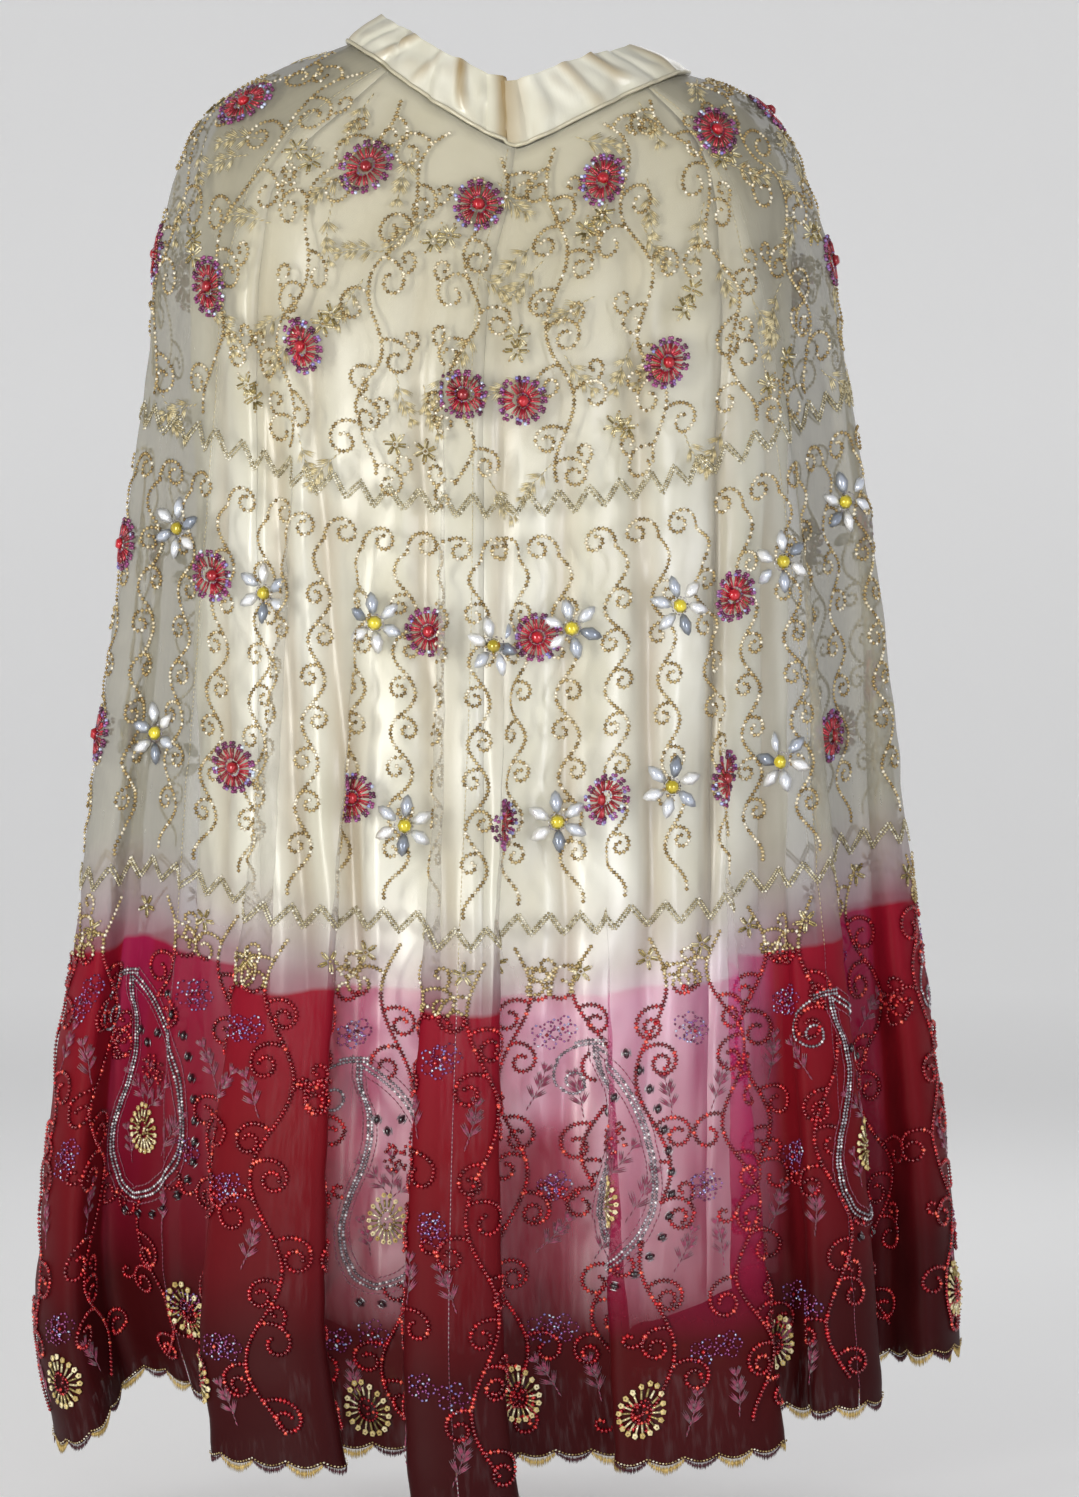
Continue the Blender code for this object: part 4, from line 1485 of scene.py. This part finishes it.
def make_beadwork(finishes):
    """The beadwork of each sheer panel, a piece for each kind of bead or thread."""
    made = {panel: [] for panel in SKIRT_NAMES}
    for name, batches in sewn.items():
        kind = KIND_OF.get(name, name)
        shape = stamp(*SHAPES["gold_beads" if name in SMALL else kind])
        rows = np.concatenate(batches)
        places, axes, tones = place_copies(sheer_skin, rows)
        turn = wrapped(rows[:, 0], 360.0)
        for panel, first, last in SHEER_PANELS:
            here = (turn >= first) & (turn < last)
            if here.any():
                copies = places[here], axes[here], tones[here]
                made[panel].append(joined(f"{name}_{panel}", shape, *copies, finishes[kind]))
    return made


def make_fringes(finishes):
    """One fringe piece for each sheer panel: threads that hang from its hem."""
    angle, length, splay, tone = fringes()
    shape = stamp(*SHAPES["fringe"])
    edge = hem_edge(angle)
    here, across, _, outward = frames_of(sheer_skin, angle, edge)
    down = np.array([0.0, 0.0, -1.0]) + across * splay[:, None]
    down /= np.linalg.norm(down, axis=1)[:, None]
    side = np.cross(outward, down)
    side /= np.linalg.norm(side, axis=1)[:, None]
    third = np.cross(down, side)
    places = here + down * (length / 2 - 0.0008)[:, None]
    axes = np.stack([down * length[:, None], side * 0.0011, third * 0.0009], axis=1)
    made = {}
    for name, first, last in SHEER_PANELS:
        here = (angle >= first) & (angle < last)
        copies = places[here], axes[here], tone[here]
        made[name] = joined(f"hem_fringe_{name}", shape, *copies, finishes["fringe"])
    return made


# ---------------------------------------------------------------- floor, light, camera


FLOOR = -1.062  # the height of the floor, just under the longest fold
FLOOR_RADIUS = 7.4
BEND = 1.5  # the radius of the bend between the floor and the wall
WALL_TOP = 4.8  # above the floor


def stage():
    """A pale round floor that turns up into a low wall well outside every view."""
    profile = [(0.0, 0.0), (FLOOR_RADIUS, 0.0)]
    for turn in np.radians(np.linspace(10, 90, 9)):
        profile.append((FLOOR_RADIUS + BEND * math.sin(turn), BEND * (1 - math.cos(turn))))
    profile.append((FLOOR_RADIUS + BEND, WALL_TOP))
    bm = bmesh.new()
    verts = [bm.verts.new((run, 0.0, rise + FLOOR)) for run, rise in profile]
    edges = [bm.edges.new(pair) for pair in zip(verts, verts[1:])]
    bmesh.ops.spin(
        bm, geom=[*verts, *edges], cent=(0, 0, 0), axis=(0, 0, 1),
        angle=2 * math.pi, steps=72, use_merge=True,
    )
    bmesh.ops.remove_doubles(bm, verts=bm.verts, dist=1e-5)
    bmesh.ops.recalc_face_normals(bm, faces=bm.faces)
    bmesh.ops.reverse_faces(bm, faces=bm.faces)
    mesh = bpy.data.meshes.new("sweep")
    bm.to_mesh(mesh)
    bm.free()
    mesh.shade_smooth()
    glow = {"Emission_Color": colour("#ffffff"), "Emission_Strength": 0.19}
    paper, _ = finish("matt_white_paper", "#f4f4f4", 0.9, **glow)
    mesh.materials.append(paper)
    sweep = add("sweep", mesh)


MIDDLE = Vector((0.0, 0.0, -0.5))  # of the skirt


def lamp(name, place, wide, tall, watts, shade):
    """A soft lamp aimed at the middle of the skirt."""
    light = bpy.data.lights.new(name, "AREA")
    light.shape = "RECTANGLE"
    light.size = wide
    light.size_y = tall
    light.energy = watts
    light.color = colour(shade)[:3]
    made = add(name, light)
    made.location = place
    made.rotation_euler = (MIDDLE - Vector(place)).to_track_quat("-Z", "Y").to_euler()
    made.visible_camera = False


def light_and_camera():
    world = bpy.data.worlds.new("soft_room")
    world.use_nodes = True
    sky = world.node_tree.nodes["Background"].inputs
    sky["Color"].default_value = colour("#f6f6f8")
    sky["Strength"].default_value = 0.32
    bpy.context.scene.world = world
    lamp("key", (-1.5, -2.3, -0.4), 0.45, 1.25, 37, "#fffdf6")
    lamp("fill", (1.5, -2.5, -0.45), 0.35, 1.2, 20, "#f4f6ff")
    lamp("back", (0.6, 2.4, 1.4), 1.6, 1.6, 12, "#ffffff")
    camera = bpy.data.cameras.new("camera")
    camera.lens = 109.0
    camera.sensor_width = 36.0
    made = add("camera", camera)
    made.location = (0.0154, -3.4, -0.485)
    made.rotation_euler = (math.pi / 2, 0.0, 0.0)
    bpy.context.scene.camera = made
    bpy.context.scene.view_settings.view_transform = "Standard"


# ---------------------------------------------------------------- put together


# What each piece was cut to: its widest width and its length, and its flat area.
Cut = namedtuple("Cut", "wide long area")
SHEER_CUTS = [
    Cut(0.69, 1.05, 0.363), Cut(0.49, 1.11, 0.270), Cut(0.54, 1.02, 0.305),
    Cut(0.56, 1.00, 0.306), Cut(0.72, 1.01, 0.370), Cut(0.63, 0.99, 0.323),
]
LINING_CUTS = [
    Cut(0.19, 0.94, 0.158), Cut(0.22, 0.97, 0.195), Cut(0.20, 0.94, 0.157),
    Cut(0.20, 0.91, 0.158), Cut(0.22, 0.93, 0.188), Cut(0.19, 0.91, 0.154),
]
BAND_CUTS = [Cut(0.39, 0.05, 0.0178), Cut(0.38, 0.05, 0.0173)]


def main():
    ivory = satin()
    finishes = small_finishes()
    light_and_camera()
    stage()
    organza = sheer_panels(dyed_sheer())
    lining = lining_panels(ivory)
    band = waistband_halves(ivory)
    piping = waist_piping(ivory)
    embroider()
    hem_beads()
    seam_stitches()
    beadwork = make_beadwork(finishes)
    fringe = make_fringes(finishes)
    halves = list(band.values())
    for name, outer, inner in zip(SKIRT_NAMES, SHEER_CUTS, LINING_CUTS):
        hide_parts(f"sheer_{name}")
        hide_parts(f"lining_{name}")
        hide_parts(f"fringe_{name}")
        on_it = [fringe[name], *beadwork[name]]
        for piece in [organza[name], lining[name], *on_it]:
            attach(piece, "root")
    for name, cut in zip(BAND_NAMES, BAND_CUTS):
        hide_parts(f"waistband_{name}")
    for piece in [*halves, piping]:
        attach(piece, "root")


main()
